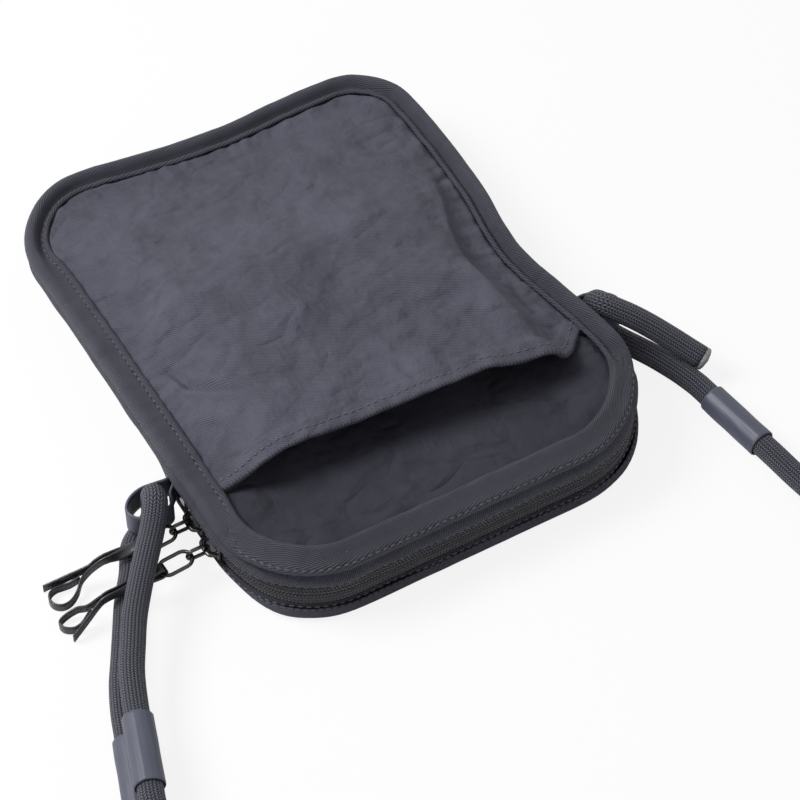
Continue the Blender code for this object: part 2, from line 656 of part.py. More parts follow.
def make_gussets(paint, collection):
    base = BACK_BINDING_THICK + 2 * CLEARANCE + GUSSET_THICK / 2
    inset = GUSSET_INSET
    foot = inset + GUSSET_TURN_IN
    bulge = GUSSET_THICK / 3
    middle = (LOWER_GUSSET_TOP + UPPER_GUSSET_LOW) / 2
    heights = [LOWER_GUSSET_TOP, middle, UPPER_GUSSET_LOW, UPPER_GUSSET_TOP]
    outline = far_outline(inset)
    start = next(i for i, (x, y) in enumerate(outline) if y > ZIP_START_Y)

    def side_outline(inset_here):
        """The far outline, with a column just where each end of the zip begins."""
        points = far_outline(inset_here)
        points[start - 1] = (points[start - 1][0], ZIP_START_Y)
        points[-start] = (points[-start][0], ZIP_START_Y)
        return [(points[0][0], FOLD_Y + FOLD_GAP)] + points[start - 1:len(points) - start + 1] \
            + [(points[-1][0], FOLD_Y + FOLD_GAP)]

    last = len(side_outline(inset)) - 2

    def under_the_ears(row, column):
        return row < 3 and column in (0, last)

    band("side_gusset", side_outline, [(foot, base)] + [(inset, z) for z in heights], GUSSET_THICK,
         paint["nylon"], collection, skip=under_the_ears)
    band("upper_gusset", near_outline, [(inset, UPPER_GUSSET_LOW),
                                        (inset - bulge, (UPPER_GUSSET_LOW + UPPER_GUSSET_TOP) / 2),
                                        (inset, UPPER_GUSSET_TOP)],
         GUSSET_THICK, paint["nylon"], collection)
    band("lower_gusset", zip_outline, [(foot, base), (inset, LOWER_GUSSET_TOP)],
         GUSSET_THICK, paint["nylon"], collection)


def zip_outline(inset):
    return near_outline(inset, ZIP_START_Y - FOLD_GAP)


# Zip
def coil_mesh(name, points, low, high, material, collection):
    """A square-edged strip that stands on the outline."""
    return band(name, points, [(ZIP_TAPE_INSET, low), (ZIP_TAPE_INSET, high)], COIL_THICK,
                material, collection)


def zip_notch(cutters):
    """The stretch between the two sliders, where the halves of the zip stand apart."""
    nose_a = SLIDER_A_Y - SLIDER_LENGTH / 2
    start = nose_a + SLIDER_POST + SLIDER_A_TRAVEL + CLEARANCE
    end = SLIDER_B_Y + SLIDER_LENGTH / 2 - SLIDER_POST - SLIDER_B_TRAVEL - 2 * CLEARANCE
    height = SLIDER_POST_HEIGHT + 2 * CLEARANCE
    reach = NEAR_RADIUS / 2
    place = (-HALF_WIDTH + reach / 2, (start + end) / 2, ZIP_Z)
    mesh = lump("zip_notch_cutter", (reach + COIL_THICK, start - end, height), place)
    return add_object("zip_notch_cutter", mesh, bpy.data.materials[0], cutters)


def make_zip(paint, collection, cutters):
    inset = ZIP_TAPE_INSET
    low_coil = ZIP_Z - COIL_GAP / 2 - COIL_HEIGHT
    high_coil = ZIP_Z + COIL_GAP / 2 + COIL_HEIGHT
    low_tape = low_coil - CLEARANCE
    high_tape = high_coil + CLEARANCE
    notch = zip_notch(cutters)

    band("zip_tape_lower", zip_outline, [(inset + GUSSET_TURN_IN, low_tape - ZIP_TAPE_REACH + COIL_HEIGHT),
                                         (inset, LOWER_GUSSET_TOP), (inset, low_tape)],
         ZIP_TAPE_THICK, paint["tape"], collection)
    coil = coil_mesh("zip_coil_lower", zip_outline, low_coil, ZIP_Z - COIL_GAP / 2,
                     paint["coil"], collection)
    joined(coil, notch, "DIFFERENCE", cutters)
    band("zip_tape_upper", near_outline, [(inset, high_tape),
                                          (inset, high_tape + ZIP_TAPE_REACH - COIL_HEIGHT)],
         ZIP_TAPE_THICK, paint["tape"], collection)
    coil = coil_mesh("zip_coil_upper", near_outline, ZIP_Z + COIL_GAP / 2, high_coil,
                     paint["coil"], collection)
    joined(coil, notch, "DIFFERENCE", cutters)

    ends_y = [FOLD_Y + FOLD_GAP, (FOLD_Y + ZIP_START_Y) / 2, ZIP_START_Y - FOLD_GAP]
    for side, sign in (("left", -1), ("right", 1)):
        x = sign * (HALF_WIDTH - inset)
        heights = [ZIP_Z + COIL_GAP / 2, UPPER_GUSSET_LOW - CLEARANCE]
        rows = [[settle(x, y, z) for y in ends_y] for z in heights]
        end = shell(f"zip_end_{side}", rows, COIL_THICK, paint["tape"], collection)
        if side == "left":
            joined(end, notch, "DIFFERENCE", cutters)
        stop_x = sign * (HALF_WIDTH - inset + (COIL_THICK + STOP_THICK) / 2 + CLEARANCE)
        stop_y = ZIP_START_Y - STOP_LENGTH
        place = Vector(settle(stop_x, stop_y, ZIP_Z))
        mesh = lump(f"zip_stop_{side}", (STOP_THICK, STOP_LENGTH, STOP_HEIGHT), place,
                    STOP_THICK / 4, 1)
        add_object(f"zip_stop_{side}", mesh, paint["metal"], collection)


# Sliders and pulls
def slider_frame(y):
    """Where a slider's own axes lie: along the zip, up, and out of the pouch."""
    x = -HALF_WIDTH + ZIP_TAPE_INSET
    return Matrix(((0, 0, -1, x), (1, 0, 0, y), (0, 1, 0, ZIP_Z), (0, 0, 0, 1)))


def make_slider(name, y, nose, paint, collection, cutters):
    """Two plates either side of the coil, a post at the nose and a bridge for the link."""
    frame = slider_frame(y)
    inner = COIL_THICK / 2 + CLEARANCE
    outer_at = inner + SLIDER_PLATE / 2
    back_at = COIL_THICK / 2 + SLIDER_BACK_GAP + SLIDER_PLATE / 2
    edge = SLIDER_PLATE / 3
    plate = (SLIDER_LENGTH, SLIDER_HEIGHT, SLIDER_PLATE)
    post_at = nose * (SLIDER_LENGTH - SLIDER_POST) / 2
    post = (SLIDER_POST, SLIDER_POST_HEIGHT, outer_at + back_at)
    bar = BRIDGE_BAR
    top = inner + SLIDER_PLATE + BRIDGE_RISE + bar / 2
    leg_at = (BRIDGE_LENGTH - bar) / 2
    leg = (bar, bar, top + bar / 4 - outer_at)
    leg_middle = (outer_at + top) / 2
    pieces = [
        (post, (post_at, 0, (outer_at - back_at) / 2), 0),
        (plate, (0, 0, -back_at), edge),
        (leg, (-leg_at, 0, leg_middle), 0),
        (leg, (leg_at, 0, leg_middle), 0),
        ((BRIDGE_LENGTH, bar, bar), (0, 0, top), bar / 4)]
    body = add_object(name, lump(name, plate, (0, 0, outer_at), edge, 1), paint["metal"], collection)
    body.matrix_world = frame
    for i, (size, place, bevel) in enumerate(pieces):
        tool_name = f"{name}_piece_{i}"
        tool = add_object(tool_name, lump(tool_name, size, place, bevel, 1), paint["metal"], cutters)
        tool.matrix_world = frame
        joined(body, tool, "UNION", cutters)
    return body


def oval(centre, long_way, wide_way, length, width, count):
    """A stadium of points round a centre."""
    straight_half = (length - width) / 2
    points = []
    for i in range(count):
        a = math.tau * (i + 0.5) / count
        push = math.copysign(straight_half, math.cos(a))
        points.append(centre + long_way * (math.cos(a) * width / 2 + push)
                      + wide_way * (math.sin(a) * width / 2))
    return points


def ribbon(name, spots, thick, material, collection):
    """A strip through (point, width direction) pairs."""
    half = STRIP_WIDTH / 2
    rows = [[point - across * half for point, across in spots],
            [point + across * half for point, across in spots]]
    return shell(name, rows, thick, material, collection)


def pull_height(out, shape):
    """A pull's height: level over the back strand, then down to the table."""
    start, end = (share * STRIP_REACH for share in shape["drop_shares"])
    return PULL_HIGH_Z + (PULL_LOW_Z - PULL_HIGH_Z) * smooth(out, start, end)


def make_pull(key, slider_y, paint, collection):
    """Link, ring and a leather strip that goes round the ring and ends in a loop and a tail."""
    shape = PULL_SHAPES[key]
    up = Vector((0, 0, 1))
    along = Vector((0, 1, 0))
    out = Vector((-1, 0, 0))
    plate_out = COIL_THICK / 2 + CLEARANCE + SLIDER_PLATE
    wire = WIRE_DIAMETER / 2
    tape_x = -HALF_WIDTH + ZIP_TAPE_INSET
    link_in = tape_x - plate_out - BRIDGE_RISE + wire + CLEARANCE
    link_centre = Vector((link_in - LINK_LENGTH / 2, slider_y, ZIP_Z))
    link = oval(link_centre, out, up, LINK_LENGTH, LINK_WIDTH, RING_POINTS)
    tube(f"pull_link_{key}", link, wire, paint["metal"], collection, 1, closed=True)

    link_end = Vector((link_in - LINK_LENGTH, slider_y, ZIP_Z))
    catch = link_end - out * (2 * wire + CLEARANCE)
    ring_way = (out - up * (RING_DROP / RING_LENGTH)).normalized()
    ring_centre = catch + ring_way * RING_LENGTH / 2
    ring = oval(ring_centre, ring_way, along, RING_LENGTH, RING_WIDTH, RING_POINTS)
    tube(f"pull_ring_{key}", ring, wire, paint["metal"], collection, 1, closed=True)

    bar = catch + ring_way * RING_LENGTH

    def spot_at(shares):
        out_by, along_by = (share * STRIP_REACH for share in shares)
        return Vector((bar.x - out_by, bar.y + along_by, pull_height(out_by, shape)))

    neck = spot_at(shape["neck_shares"])
    wrap = wire + STRIP_WRAP_GAP + STRIP_THICK / 2
    pinch = (STRIP_THICK + STRIP_GAP) / 2
    lay = (neck - bar).normalized()
    flat_across = lay.cross(up).normalized()
    side = up.cross(lay)
    ways = [(spot_at(shares) - neck).normalized()
            for shares in (shape["tail_shares"], shape["loop_shares"][0])]
    hand = math.copysign(1, (ways[0] - ways[1]).dot(side))
    pair = []
    for i in range(NECK_STEPS + 1):
        share = i / NECK_STEPS
        twist = math.pi / 2 * smooth(share, 0, 0.75)
        across = flat_across * math.cos(twist) + up * math.sin(twist)
        apart = across.cross(lay).normalized() * hand
        spread = wrap + (pinch - wrap) * smooth(share, 0, 0.6)
        spot = bar.lerp(neck, share)
        spot.z = pull_height(bar.x - spot.x, shape) + (bar.z - PULL_HIGH_Z) * (1 - share)
        pair.append((spot, across, apart * spread))
    tail_end = spot_at(shape["tail_shares"])
    tail_way = (tail_end - neck).normalized()
    tail_side = up.cross(tail_way) * -1
    sign = 1 if pair[-1][2].dot(tail_side) > 0 else -1
    tail_shift = tail_side * sign * pinch
    spots = [(tail_end + tail_shift, up), ((tail_end + neck) / 2 + tail_shift, up)]
    spots += [(point + shift, across) for point, across, shift in reversed(pair)]
    first = pair[0]
    for i in range(1, WRAP_STEPS):
        turn = math.pi * i / WRAP_STEPS
        spots.append((first[0] + first[2] * math.cos(turn) - lay * wrap * math.sin(turn), first[1]))
    spots += [(point - shift, across) for point, across, shift in pair]
    spots += [(spot_at(shares), up) for shares in shape["loop_shares"]]
    ribbon(f"pull_strip_{key}", spots, STRIP_THICK, paint["leather"], collection)
    hang(f"pull_{key}_axis", catch, [f"pull_ring_{key}", f"pull_strip_{key}"], collection)
    print(f"pull {key} turns about (mm):", [round(v / PANEL_THICK, 3) for v in catch])


# Side tabs
TAB_SHAPE_SHARES = [
    (0.0, 1.40), (0.0, 1.11), (0.075, 0.92), (0.28, 0.955), (0.59, 0.985), (0.85, 0.64),
    (1.0, 0.0), (0.95, -0.61), (0.755, -0.985), (0.49, -1.0), (0.25, -0.74), (0.16, -0.02),
    (0.075, 0.28), (0.015, 0.47), (0.0, 0.68)]


def make_tab(side, sign, paint, collection):
    """A strip sewn to the gusset in a standing loop, which the rope goes down through."""
    wall = HALF_WIDTH - GUSSET_INSET + GUSSET_THICK / 2 + CLEARANCE + TAB_THICK / 2
    rows = []
    for share in (0, 0.5, 1):
        z = TAB_LOW_Z + TAB_WIDTH * share
        row = []
        for u, v in TAB_SHAPE_SHARES:
            y = TAB_Y + v * TAB_SPREAD
            foot = settle(sign * wall, y, z)
            row.append((foot[0] + sign * u * TAB_REACH, y + u * TAB_LEAN * share, z))
        rows.append(row)
    shell(f"side_tab_{side}", rows, TAB_THICK, paint["satin"], collection)


# Strap
def make_strap(paint, collection):
    """Two strands from each tab: a tail with a melted end, and the run that carries the bag."""
    coil = coil_points()
    loops = coil[1:-1]
    print("strap coil, least gap between its loops (mm):",
          round(least_self_gap(loops, CORD_RADIUS) / PANEL_THICK, 2))
    tube("strap_coil", coil, CORD_RADIUS, paint["cord"], collection, 1)
    for side, route in (("left", LEFT_TAIL), ("right", RIGHT_TAIL)):
        points = cut_square(spline_points(route, ROUTE_STEP), Vector((0, 0, 1)))
        tip = points[-1]
        way = (tip - points[-2]).normalized()
        tube(f"strap_tail_{side}", points, CORD_RADIUS, paint["cord"], collection)
        start = tip + way * CLEARANCE
        tube(f"strap_end_{side}", [start, start + way * SEAL_LENGTH], CORD_RADIUS,
             paint["seal"], collection)
    for side, route in (("left", LEFT_STRAND), ("right", RIGHT_STRAND)):
        points = cut_square(spline_points(route, ROUTE_STEP), Vector((0, 0, -1)))
        back = Vector((0, STUB_LENGTH if side == "left" else -STUB_LENGTH, 0))
        points[-1:] = [points[-1] + back, points[-1]]
        tube(f"strap_run_{side}", points, CORD_RADIUS, paint["cord"], collection)
    bore = CORD_RADIUS + SLEEVE_CLEARANCE
    for name, (route, first) in SLEEVES.items():
        mesh = turned(f"sleeve_{name}", bore, bore + SLEEVE_WALL, SLEEVE_LENGTH, route[first],
                      route[first + 1], SLEEVE_SIDES)
        add_object(f"sleeve_{name}", mesh, paint["satin"], collection, 40)


def main():
    for old in list(bpy.data.objects):
        bpy.data.objects.remove(old, do_unlink=True)
    collection = bpy.data.collections.new("crossbody_pouch")
    cutters = bpy.data.collections.new("cutters")
    for group in (collection, cutters):
        bpy.context.scene.collection.children.link(group)
    paint = make_materials()
    make_panels(paint, collection)
    make_bindings(paint, collection)
    make_gussets(paint, collection)
    make_zip(paint, collection, cutters)
    make_slider("slider_a", SLIDER_A_Y, -1, paint, collection, cutters)
    make_slider("slider_b", SLIDER_B_Y, 1, paint, collection, cutters)
    make_pull("a", SLIDER_A_Y, paint, collection)
    make_pull("b", SLIDER_B_Y, paint, collection)
    make_tab("left", -1, paint, collection)
    make_tab("right", 1, paint, collection)
    make_strap(paint, collection)
    fold = (0, FOLD_Y, BINDING_Z + BINDING_ROLL + BINDING_THICK / 2)
    flap = ["edge_binding_near", "front_panel_near", "upper_gusset", "zip_tape_upper",
            "zip_coil_upper"]
    hang("mouth_flap_axis", fold, flap, collection)


main()
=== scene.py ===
# Crossbody pouch lying open on a pale table: soft goods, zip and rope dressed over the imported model
import math

import bmesh
import bpy
import numpy as np
from mathutils import Matrix, Vector, noise


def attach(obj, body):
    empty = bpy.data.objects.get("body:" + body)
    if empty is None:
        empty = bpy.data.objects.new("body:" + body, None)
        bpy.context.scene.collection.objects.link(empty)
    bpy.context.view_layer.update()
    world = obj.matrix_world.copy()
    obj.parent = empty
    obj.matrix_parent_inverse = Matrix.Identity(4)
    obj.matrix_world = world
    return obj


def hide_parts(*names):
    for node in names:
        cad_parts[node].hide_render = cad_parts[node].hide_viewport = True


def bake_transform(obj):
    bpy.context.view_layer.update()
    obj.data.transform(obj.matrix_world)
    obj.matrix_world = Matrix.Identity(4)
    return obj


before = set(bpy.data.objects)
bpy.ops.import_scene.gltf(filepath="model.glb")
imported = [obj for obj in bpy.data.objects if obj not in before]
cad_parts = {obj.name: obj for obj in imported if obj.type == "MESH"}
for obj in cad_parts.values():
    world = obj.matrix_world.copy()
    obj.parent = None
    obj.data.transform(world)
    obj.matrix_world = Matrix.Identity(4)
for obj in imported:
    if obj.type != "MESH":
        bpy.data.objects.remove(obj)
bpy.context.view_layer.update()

pouch = {  # the sewn body, in metres, as the model has it
    "halfWidth": 0.086, "halfLength": 0.110,
    "nearRadius": 0.040, "farLeftRadius": 0.034, "farRightRadius": 0.025,
    "farDrop": 0.15, "dropStart": 0.010, "leftTuck": 0.0060, "leftTuckFade": 0.020,
    "tuckTop": 0.0086, "tuckEnd": (0.70, 0.95), "foldY": -0.0622, "foldSkew": 0.0030, "foldSpread": 0.018,
    "leftLean": 0.0032, "leanTop": 0.0250, "leanRun": 0.0164, "leanAt": (-0.37, -0.12),
    "nearBulge": 0.0008, "cornerBulge": 0.0022, "rightBulge": 0.0040, "bulgeTop": 0.0270, "bulgeRise": 0.0095,
    "nearAt": (0.64, 0.955), "rightAt": (0.55, 0.76), "cornerAt": (0.50, 1.0), "rightEase": 0.2,
    "rightBumps": [(-0.0088, 0.0275, -0.00561), (-0.0682, 0.0198, 0.0033), (0.0748, 0.033, 0.00143)],
    "farBumps": [(-0.0533, 0.0241, 0.00327), (0.0086, 0.0258, -0.00258)],
    "zipStartY": -0.0400, "zipZ": 0.0136, "step": 0.0030, "cornerSteps": 20,
    "rimGap": 0.0002,
}


# Shapes shared by every sewn piece
def smooth(value, low, high):
    share = min(1.0, max(0.0, (value - low) / (high - low)))
    return share * share * (3 - 2 * share)


def mix(a, b, share):
    return a + (b - a) * share


def bump(value, bumps):
    return sum(push * math.exp(-((value - at) / spread) ** 2) for at, spread, push in bumps)


def settle(x, y, z):  # where a point of the new pouch lies once the body has slumped
    p = pouch
    drop = 1 - p["farDrop"] * smooth(y, -p["dropStart"], p["halfLength"])
    right = bump(y, p["rightBumps"]) * smooth(x, 0, p["halfWidth"])
    far = bump(x, p["farBumps"]) * smooth(y, 0, p["halfLength"])
    toMouth = -y / p["halfLength"]
    tuck = p["leftTuck"] * max(0.0, 1 - z / p["tuckTop"]) * (1 - smooth(toMouth, *p["tuckEnd"]))
    tuck += p["leftLean"] * min(1, max(0, (p["leanTop"] - z) / p["leanRun"])) * smooth(-toMouth, *p["leanAt"])
    tuckEnd = smooth(y, p["halfLength"] - p["leftTuckFade"], p["halfLength"])
    tuck *= smooth(-x, 0, p["halfWidth"]) * (1 - tuckEnd)
    lean = min(1, max(0, (p["bulgeTop"] - z) / p["bulgeRise"]))
    corner = smooth(x / p["halfWidth"], *p["cornerAt"])
    near = smooth(toMouth, *p["nearAt"])
    across = p["rightBulge"] * lean * smooth(toMouth, *p["rightAt"]) * (1 - near * p["rightEase"]) * corner
    along = (p["nearBulge"] + p["cornerBulge"] * corner) * lean * near
    skew = math.exp(-((y - p["foldY"]) / p["foldSpread"]) ** 2) * x / p["halfWidth"]
    return (x + right + across + tuck, y + far - along - p["foldSkew"] * skew, z * drop)


def arc(cx, cy, radius, start, end):
    steps = pouch["cornerSteps"]
    turns = [math.radians(mix(start, end, i / steps)) for i in range(steps + 1)]
    return [(cx + radius * math.cos(a), cy + radius * math.sin(a)) for a in turns]


def line(start, end, steps):
    return [tuple(mix(a, b, i / steps) for a, b in zip(start, end)) for i in range(steps)]


def farOutline(inset, startY):
    p = pouch
    w, l, a, b = p["halfWidth"], p["halfLength"], p["farLeftRadius"], p["farRightRadius"]
    left = arc(-w + a, l - a, a - inset, 180, 90)
    right = arc(w - b, l - b, b - inset, 90, 0)
    ends = round((2 * w - a - b) / p["step"])
    sideLeft = max(2, round((l - a - startY) / p["step"]))
    sideRight = max(2, round((l - b - startY) / p["step"]))
    points = line((-w + inset, startY), left[0], sideLeft) + left[:-1]
    points += line(left[-1], right[0], ends) + right[:-1]
    return points + line(right[-1], (w - inset, startY), sideRight) + [(w - inset, startY)]


def nearOutline(inset, startY):
    p = pouch
    w, l, r = p["halfWidth"], p["halfLength"], p["nearRadius"]
    left = arc(-w + r, -l + r, r - inset, 180, 270)
    right = arc(w - r, -l + r, r - inset, 270, 360)
    side = max(2, round((startY + l - r) / p["step"]))
    points = line((-w + inset, startY), left[0], side) + left[:-1]
    points += line(left[-1], right[0], round((2 * w - 2 * r) / p["step"])) + right[:-1]
    return points + line(right[-1], (w - inset, startY), side) + [(w - inset, startY)]


def ringOutline(inset):
    y = pouch["foldY"]
    return farOutline(inset, y) + nearOutline(inset, y)[-2:0:-1]


def depth(x, y):  # how far inside the outline
    p = pouch
    radius = p["nearRadius"] if y < 0 else p["farLeftRadius"] if x < 0 else p["farRightRadius"]
    pastX, pastY = abs(x) - p["halfWidth"] + radius, abs(y) - p["halfLength"] + radius
    if pastX > 0 and pastY > 0:
        return radius - math.hypot(pastX, pastY)
    return min(p["halfWidth"] - abs(x), p["halfLength"] - abs(y))


def spline(points, count):  # a smooth line through points of any size, evenly spaced
    points = [np.array(p, float) for p in points]
    points = [2 * points[0] - points[1]] + points + [2 * points[-1] - points[-2]]
    dense = []
    for a, b, c, d in zip(points, points[1:], points[2:], points[3:]):
        span, before, after = (np.linalg.norm(v) for v in (c - b, b - a, d - c))
        tangentB, tangentC = (c - a) * span / (before + span), (d - b) * span / (span + after)
        for i in range(24):
            t = i / 24
            dense.append((2 * t ** 3 - 3 * t ** 2 + 1) * b + (t ** 3 - 2 * t ** 2 + t) * tangentB
                         + (3 * t ** 2 - 2 * t ** 3) * c + (t ** 3 - t ** 2) * tangentC)
    dense = np.array(dense + [points[-2]])
    run = np.concatenate([[0], np.cumsum(np.linalg.norm(np.diff(dense, axis=0), axis=1))])
    at = np.linspace(0, run[-1], count)
    return np.stack([np.interp(at, run, dense[:, k]) for k in range(dense.shape[1])], axis=1)


def ripple(x, y, z, size, seed):
    return noise.noise(Vector((x / size, y / size, z / size + seed * 7.3)))


# Shader maths as plain expressions
class Flow:
    def __init__(self, paint, socket):
        self.paint, self.socket = paint, socket

    def maths(self, operation, *others):
        return self.paint.node("ShaderNodeMath", {"operation": operation}, [self, *others])

    def flipped(self, operation, other):
        return self.paint.node("ShaderNodeMath", {"operation": operation}, [other, self])

    def __add__(self, other):
        return self.maths("ADD", other)

    def __sub__(self, other):
        return self.maths("SUBTRACT", other)

    def __rsub__(self, other):
        return self.flipped("SUBTRACT", other)

    def __mul__(self, other):
        return self.maths("MULTIPLY", other)

    def __truediv__(self, other):
        return self.maths("DIVIDE", other)

    def __pow__(self, other):
        return self.maths("POWER", other)

    __radd__ = __add__
    __rmul__ = __mul__

    def wave(self):  # 0 to 1 and back, once for each whole number
        return (self * math.pi).maths("SINE").maths("ABSOLUTE")


class Paint:
    def __init__(self, name, colour, roughness, **fixed):
        self.material = bpy.data.materials.new(name)
        self.material.use_nodes = True
        self.tree = self.material.node_tree
        self.shader = self.tree.nodes["Principled BSDF"]
        self.shader.inputs["Base Color"].default_value = (*colour, 1)
        self.shader.inputs["Roughness"].default_value = roughness
        for label, value in fixed.items():
            self.shader.inputs[label.replace("_", " ")].default_value = value

    def node(self, kind, settings=None, values=(), output=0):
        made = self.tree.nodes.new(kind)
        for key, value in (settings or {}).items():
            if key == "stops":
                ramp = made.color_ramp
                for i, (at, shade) in enumerate(value):
                    stop = ramp.elements[i] if i < 2 else ramp.elements.new(at)
                    stop.position, stop.color = at, (shade, shade, shade, 1)
            else:
                setattr(made, key, value)
        for key, value in (values.items() if isinstance(values, dict) else enumerate(values)):
            if isinstance(value, Flow):
                self.tree.links.new(value.socket, made.inputs[key])
            else:
                made.inputs[key].default_value = value
        return Flow(self, made.outputs[output])

    def place(self):  # object coordinates
        return self.node("ShaderNodeTexCoord", output=3)

    def cloth(self):  # along and across the piece, in metres
        uv = self.node("ShaderNodeUVMap", {"uv_map": "cloth"})
        return [self.node("ShaderNodeSeparateXYZ", values=[uv], output=k) for k in (0, 1)]

    def clouds(self, scale, detail=3.0, rough=0.55, stretch=None):
        place = self.place()
        if stretch:
            place = self.node("ShaderNodeMapping", values={"Vector": place, "Scale": stretch})
        return self.node("ShaderNodeTexNoise", values={
            "Vector": place, "Scale": scale, "Detail": detail, "Roughness": rough})

    def ramp(self, factor, *stops):
        return self.node("ShaderNodeValToRGB", {"stops": stops}, [factor])

    def blend(self, factor, a, b):
        return self.node("ShaderNodeMix", {"data_type": "RGBA"}, {0: factor, 6: a, 7: b}, 2)

    def set(self, label, flow):
        self.tree.links.new(flow.socket, self.shader.inputs[label])

    def relief(self, *layers):  # (height 0 to 1, distance in metres) from broad to fine
        normal = None
        for height, distance in layers:
            values = {"Strength": 1.0, "Distance": distance, "Height": height}
            if normal:
                values["Normal"] = normal
            normal = self.node("ShaderNodeBump", values=values)
        self.set("Normal", normal)


def shade(colour, factor):
    return (*(min(1, c * factor) for c in colour), 1)


def weaveCloth(name, look):  # twill or plain weave, with painted shade of its crumples and grooves
    paint = Paint(name, look["colour"], look["roughness"], Sheen_Weight=look["sheen"],
                  Sheen_Roughness=0.45, Specular_IOR_Level=look["gloss"])
    along, across = paint.cloth()
    turn = math.radians(look["twill"])
    lean = along * (math.cos(turn) / look["pitch"]) + across * (math.sin(turn) / look["pitch"])
    other = along * (math.sin(turn) / look["thread"]) - across * (math.cos(turn) / look["thread"])
    ribs = lean.wave()
    weave = ribs * 0.65 + other.wave() * 0.35
    crumpleAndShade = paint.clouds(34, 4.0, 0.6)
    patch = paint.clouds(120, 3.0, 0.6)
    # colour darkens and lightens with the crumple cloud, random patches and the weave: painted shade of the
    # crumples, lighter on their raised parts, and painted shade in the weave's grooves; the patches are
    # random tone
    tone = crumpleAndShade * 0.6 + patch * 0.25 + (weave - 0.6) * look["rib"] + 0.18
    level = paint.ramp(tone, (0.38, 0), (0.74, 1))
    colour = paint.blend(level, shade(look["colour"], 1 - look["crumpleAndShade"]),
                         shade(look["colour"], 1 + look["crumpleAndShade"]))
    lint, kind = (paint.node("ShaderNodeTexVoronoi", values={"Vector": paint.place(), "Scale": 95.0},
                             output=k) for k in (0, 1))
    speck = lint.maths("LESS_THAN", 0.021) * kind.maths("GREATER_THAN", 0.60)
    paint.set("Base Color", paint.blend(speck * 0.7, colour, (0.30, 0.30, 0.32, 1)))
    paint.set("Roughness", look["roughness"] + (crumpleAndShade - 0.5) * 0.25)
    # long creases where a slow cloud crosses its middle
    slow = paint.clouds(30, 2.0, 0.5, (1.0, 1.6, 1.0))
    crease = ((slow - 0.5).maths("ABSOLUTE") * 11).maths("MINIMUM", 1)
    fine = paint.clouds(150, 2.0, 0.5, (1.5, 1.0, 1.0))
    paint.relief((crumpleAndShade, look["crumple"]), (crease, look["fold"]), (fine, look["fold"] * 0.8),
                 (weave, look["relief"]))
    return paint.material


cloth = {
    "nylon": {"colour": (0.072, 0.072, 0.096), "roughness": 0.58, "sheen": 0.04, "gloss": 0.18,
              "twill": 58, "pitch": 0.00070, "thread": 0.00042, "crumpleAndShade": 0.50,
              "rib": 0.45, "relief": 0.00020, "crumple": 0.0036, "fold": 0.0007},
    "lining": {"colour": (0.040, 0.040, 0.054), "roughness": 0.62, "sheen": 0.02, "gloss": 0.14,
               "twill": 20, "pitch": 0.00060, "thread": 0.00045, "crumpleAndShade": 0.55,
               "rib": 0.70, "relief": 0.00028, "crumple": 0.0050, "fold": 0.0012},
    "binding": {"colour": (0.058, 0.058, 0.076), "roughness": 0.56, "sheen": 0.03, "gloss": 0.20,
                "twill": 74, "pitch": 0.00072, "thread": 0.00045, "crumpleAndShade": 0.48,
                "rib": 0.95, "relief": 0.00040, "crumple": 0.0018, "fold": 0.0005},
    "wall": {"colour": (0.036, 0.036, 0.046), "roughness": 0.62, "sheen": 0.01, "gloss": 0.14,
             "twill": 58, "pitch": 0.00075, "thread": 0.00045, "crumpleAndShade": 0.40,
             "rib": 0.50, "relief": 0.00022, "crumple": 0.0024, "fold": 0.0008},
    "gusset": {"colour": (0.062, 0.062, 0.082), "roughness": 0.56, "sheen": 0.03, "gloss": 0.20,
               "twill": 30, "pitch": 0.00072, "thread": 0.00045, "crumpleAndShade": 0.50,
               "rib": 0.90, "relief": 0.00036, "crumple": 0.0024, "fold": 0.0008},
}
paints = {key: weaveCloth(f"{key}Cloth", look) for key, look in cloth.items()}

zipLook = {"colour": (0.046, 0.046, 0.052), "rows": 0.0016, "pitch": 0.0013}


def zipPaint(look):  # knitted tape: rows of small chevrons
    paint = Paint("zipTape", look["colour"], 0.55, Sheen_Weight=0.02, Specular_IOR_Level=0.28)
    along, across = paint.cloth()
    column = across / look["rows"]
    side = column.maths("FLOOR").maths("MODULO", 2) * 2 - 1
    inRow = column.maths("FRACT")
    stitch = (along / look["pitch"] + side * (inRow - 0.5) * 0.8).wave()
    height = stitch * inRow.wave()
    # the chevron rows are the tape's knit; colour follows stitch height, with painted shade in the gaps
    # between stitches and painted light on their tops
    paint.set("Base Color", paint.blend(height, shade(look["colour"], 0.35), shade(look["colour"], 1.9)))
    paint.relief((height, 0.00060))
    return paint.material


paints["tape"] = zipPaint(zipLook)

rope = {"diameter": 0.0094, "colour": (0.042, 0.043, 0.057), "wales": 22, "pitch": 0.00108,
        "slant": 0.90, "sides": 40, "step": 0.0016}


def ropePaint(look):  # braid: lengthwise columns of leaning stitches that alternate
    paint = Paint("braidedRope", look["colour"], 0.56, Sheen_Weight=0.08, Specular_IOR_Level=0.3)
    around, along = paint.cloth()
    column = around * (look["wales"] / (math.pi * look["diameter"]))
    side = column.maths("FLOOR").maths("MODULO", 2) * 2 - 1
    inColumn = column.maths("FRACT")
    run = along / look["pitch"] + side * (inColumn - 0.5) * look["slant"]
    stitch = run.wave() ** 0.7
    height = stitch * (inColumn.wave() ** 0.6)
    fibresAndSheen = paint.clouds(2600, 2.0, 0.6)
    # colour follows stitch height: painted shade in the gaps between stitches, painted light on their tops,
    # and light flecks of painted fibre sheen
    tone = height * (0.65 + fibresAndSheen * 0.7)
    level = paint.ramp(tone, (0.22, 0), (0.92, 1))
    paint.set("Base Color", paint.blend(level, shade(look["colour"], 0.06), shade(look["colour"], 3.0)))
    paint.set("Roughness", 0.72 - height * 0.22)
    paint.relief((height, 0.00060), (fibresAndSheen, 0.00005))
    return paint.material


paints["rope"] = ropePaint(rope)


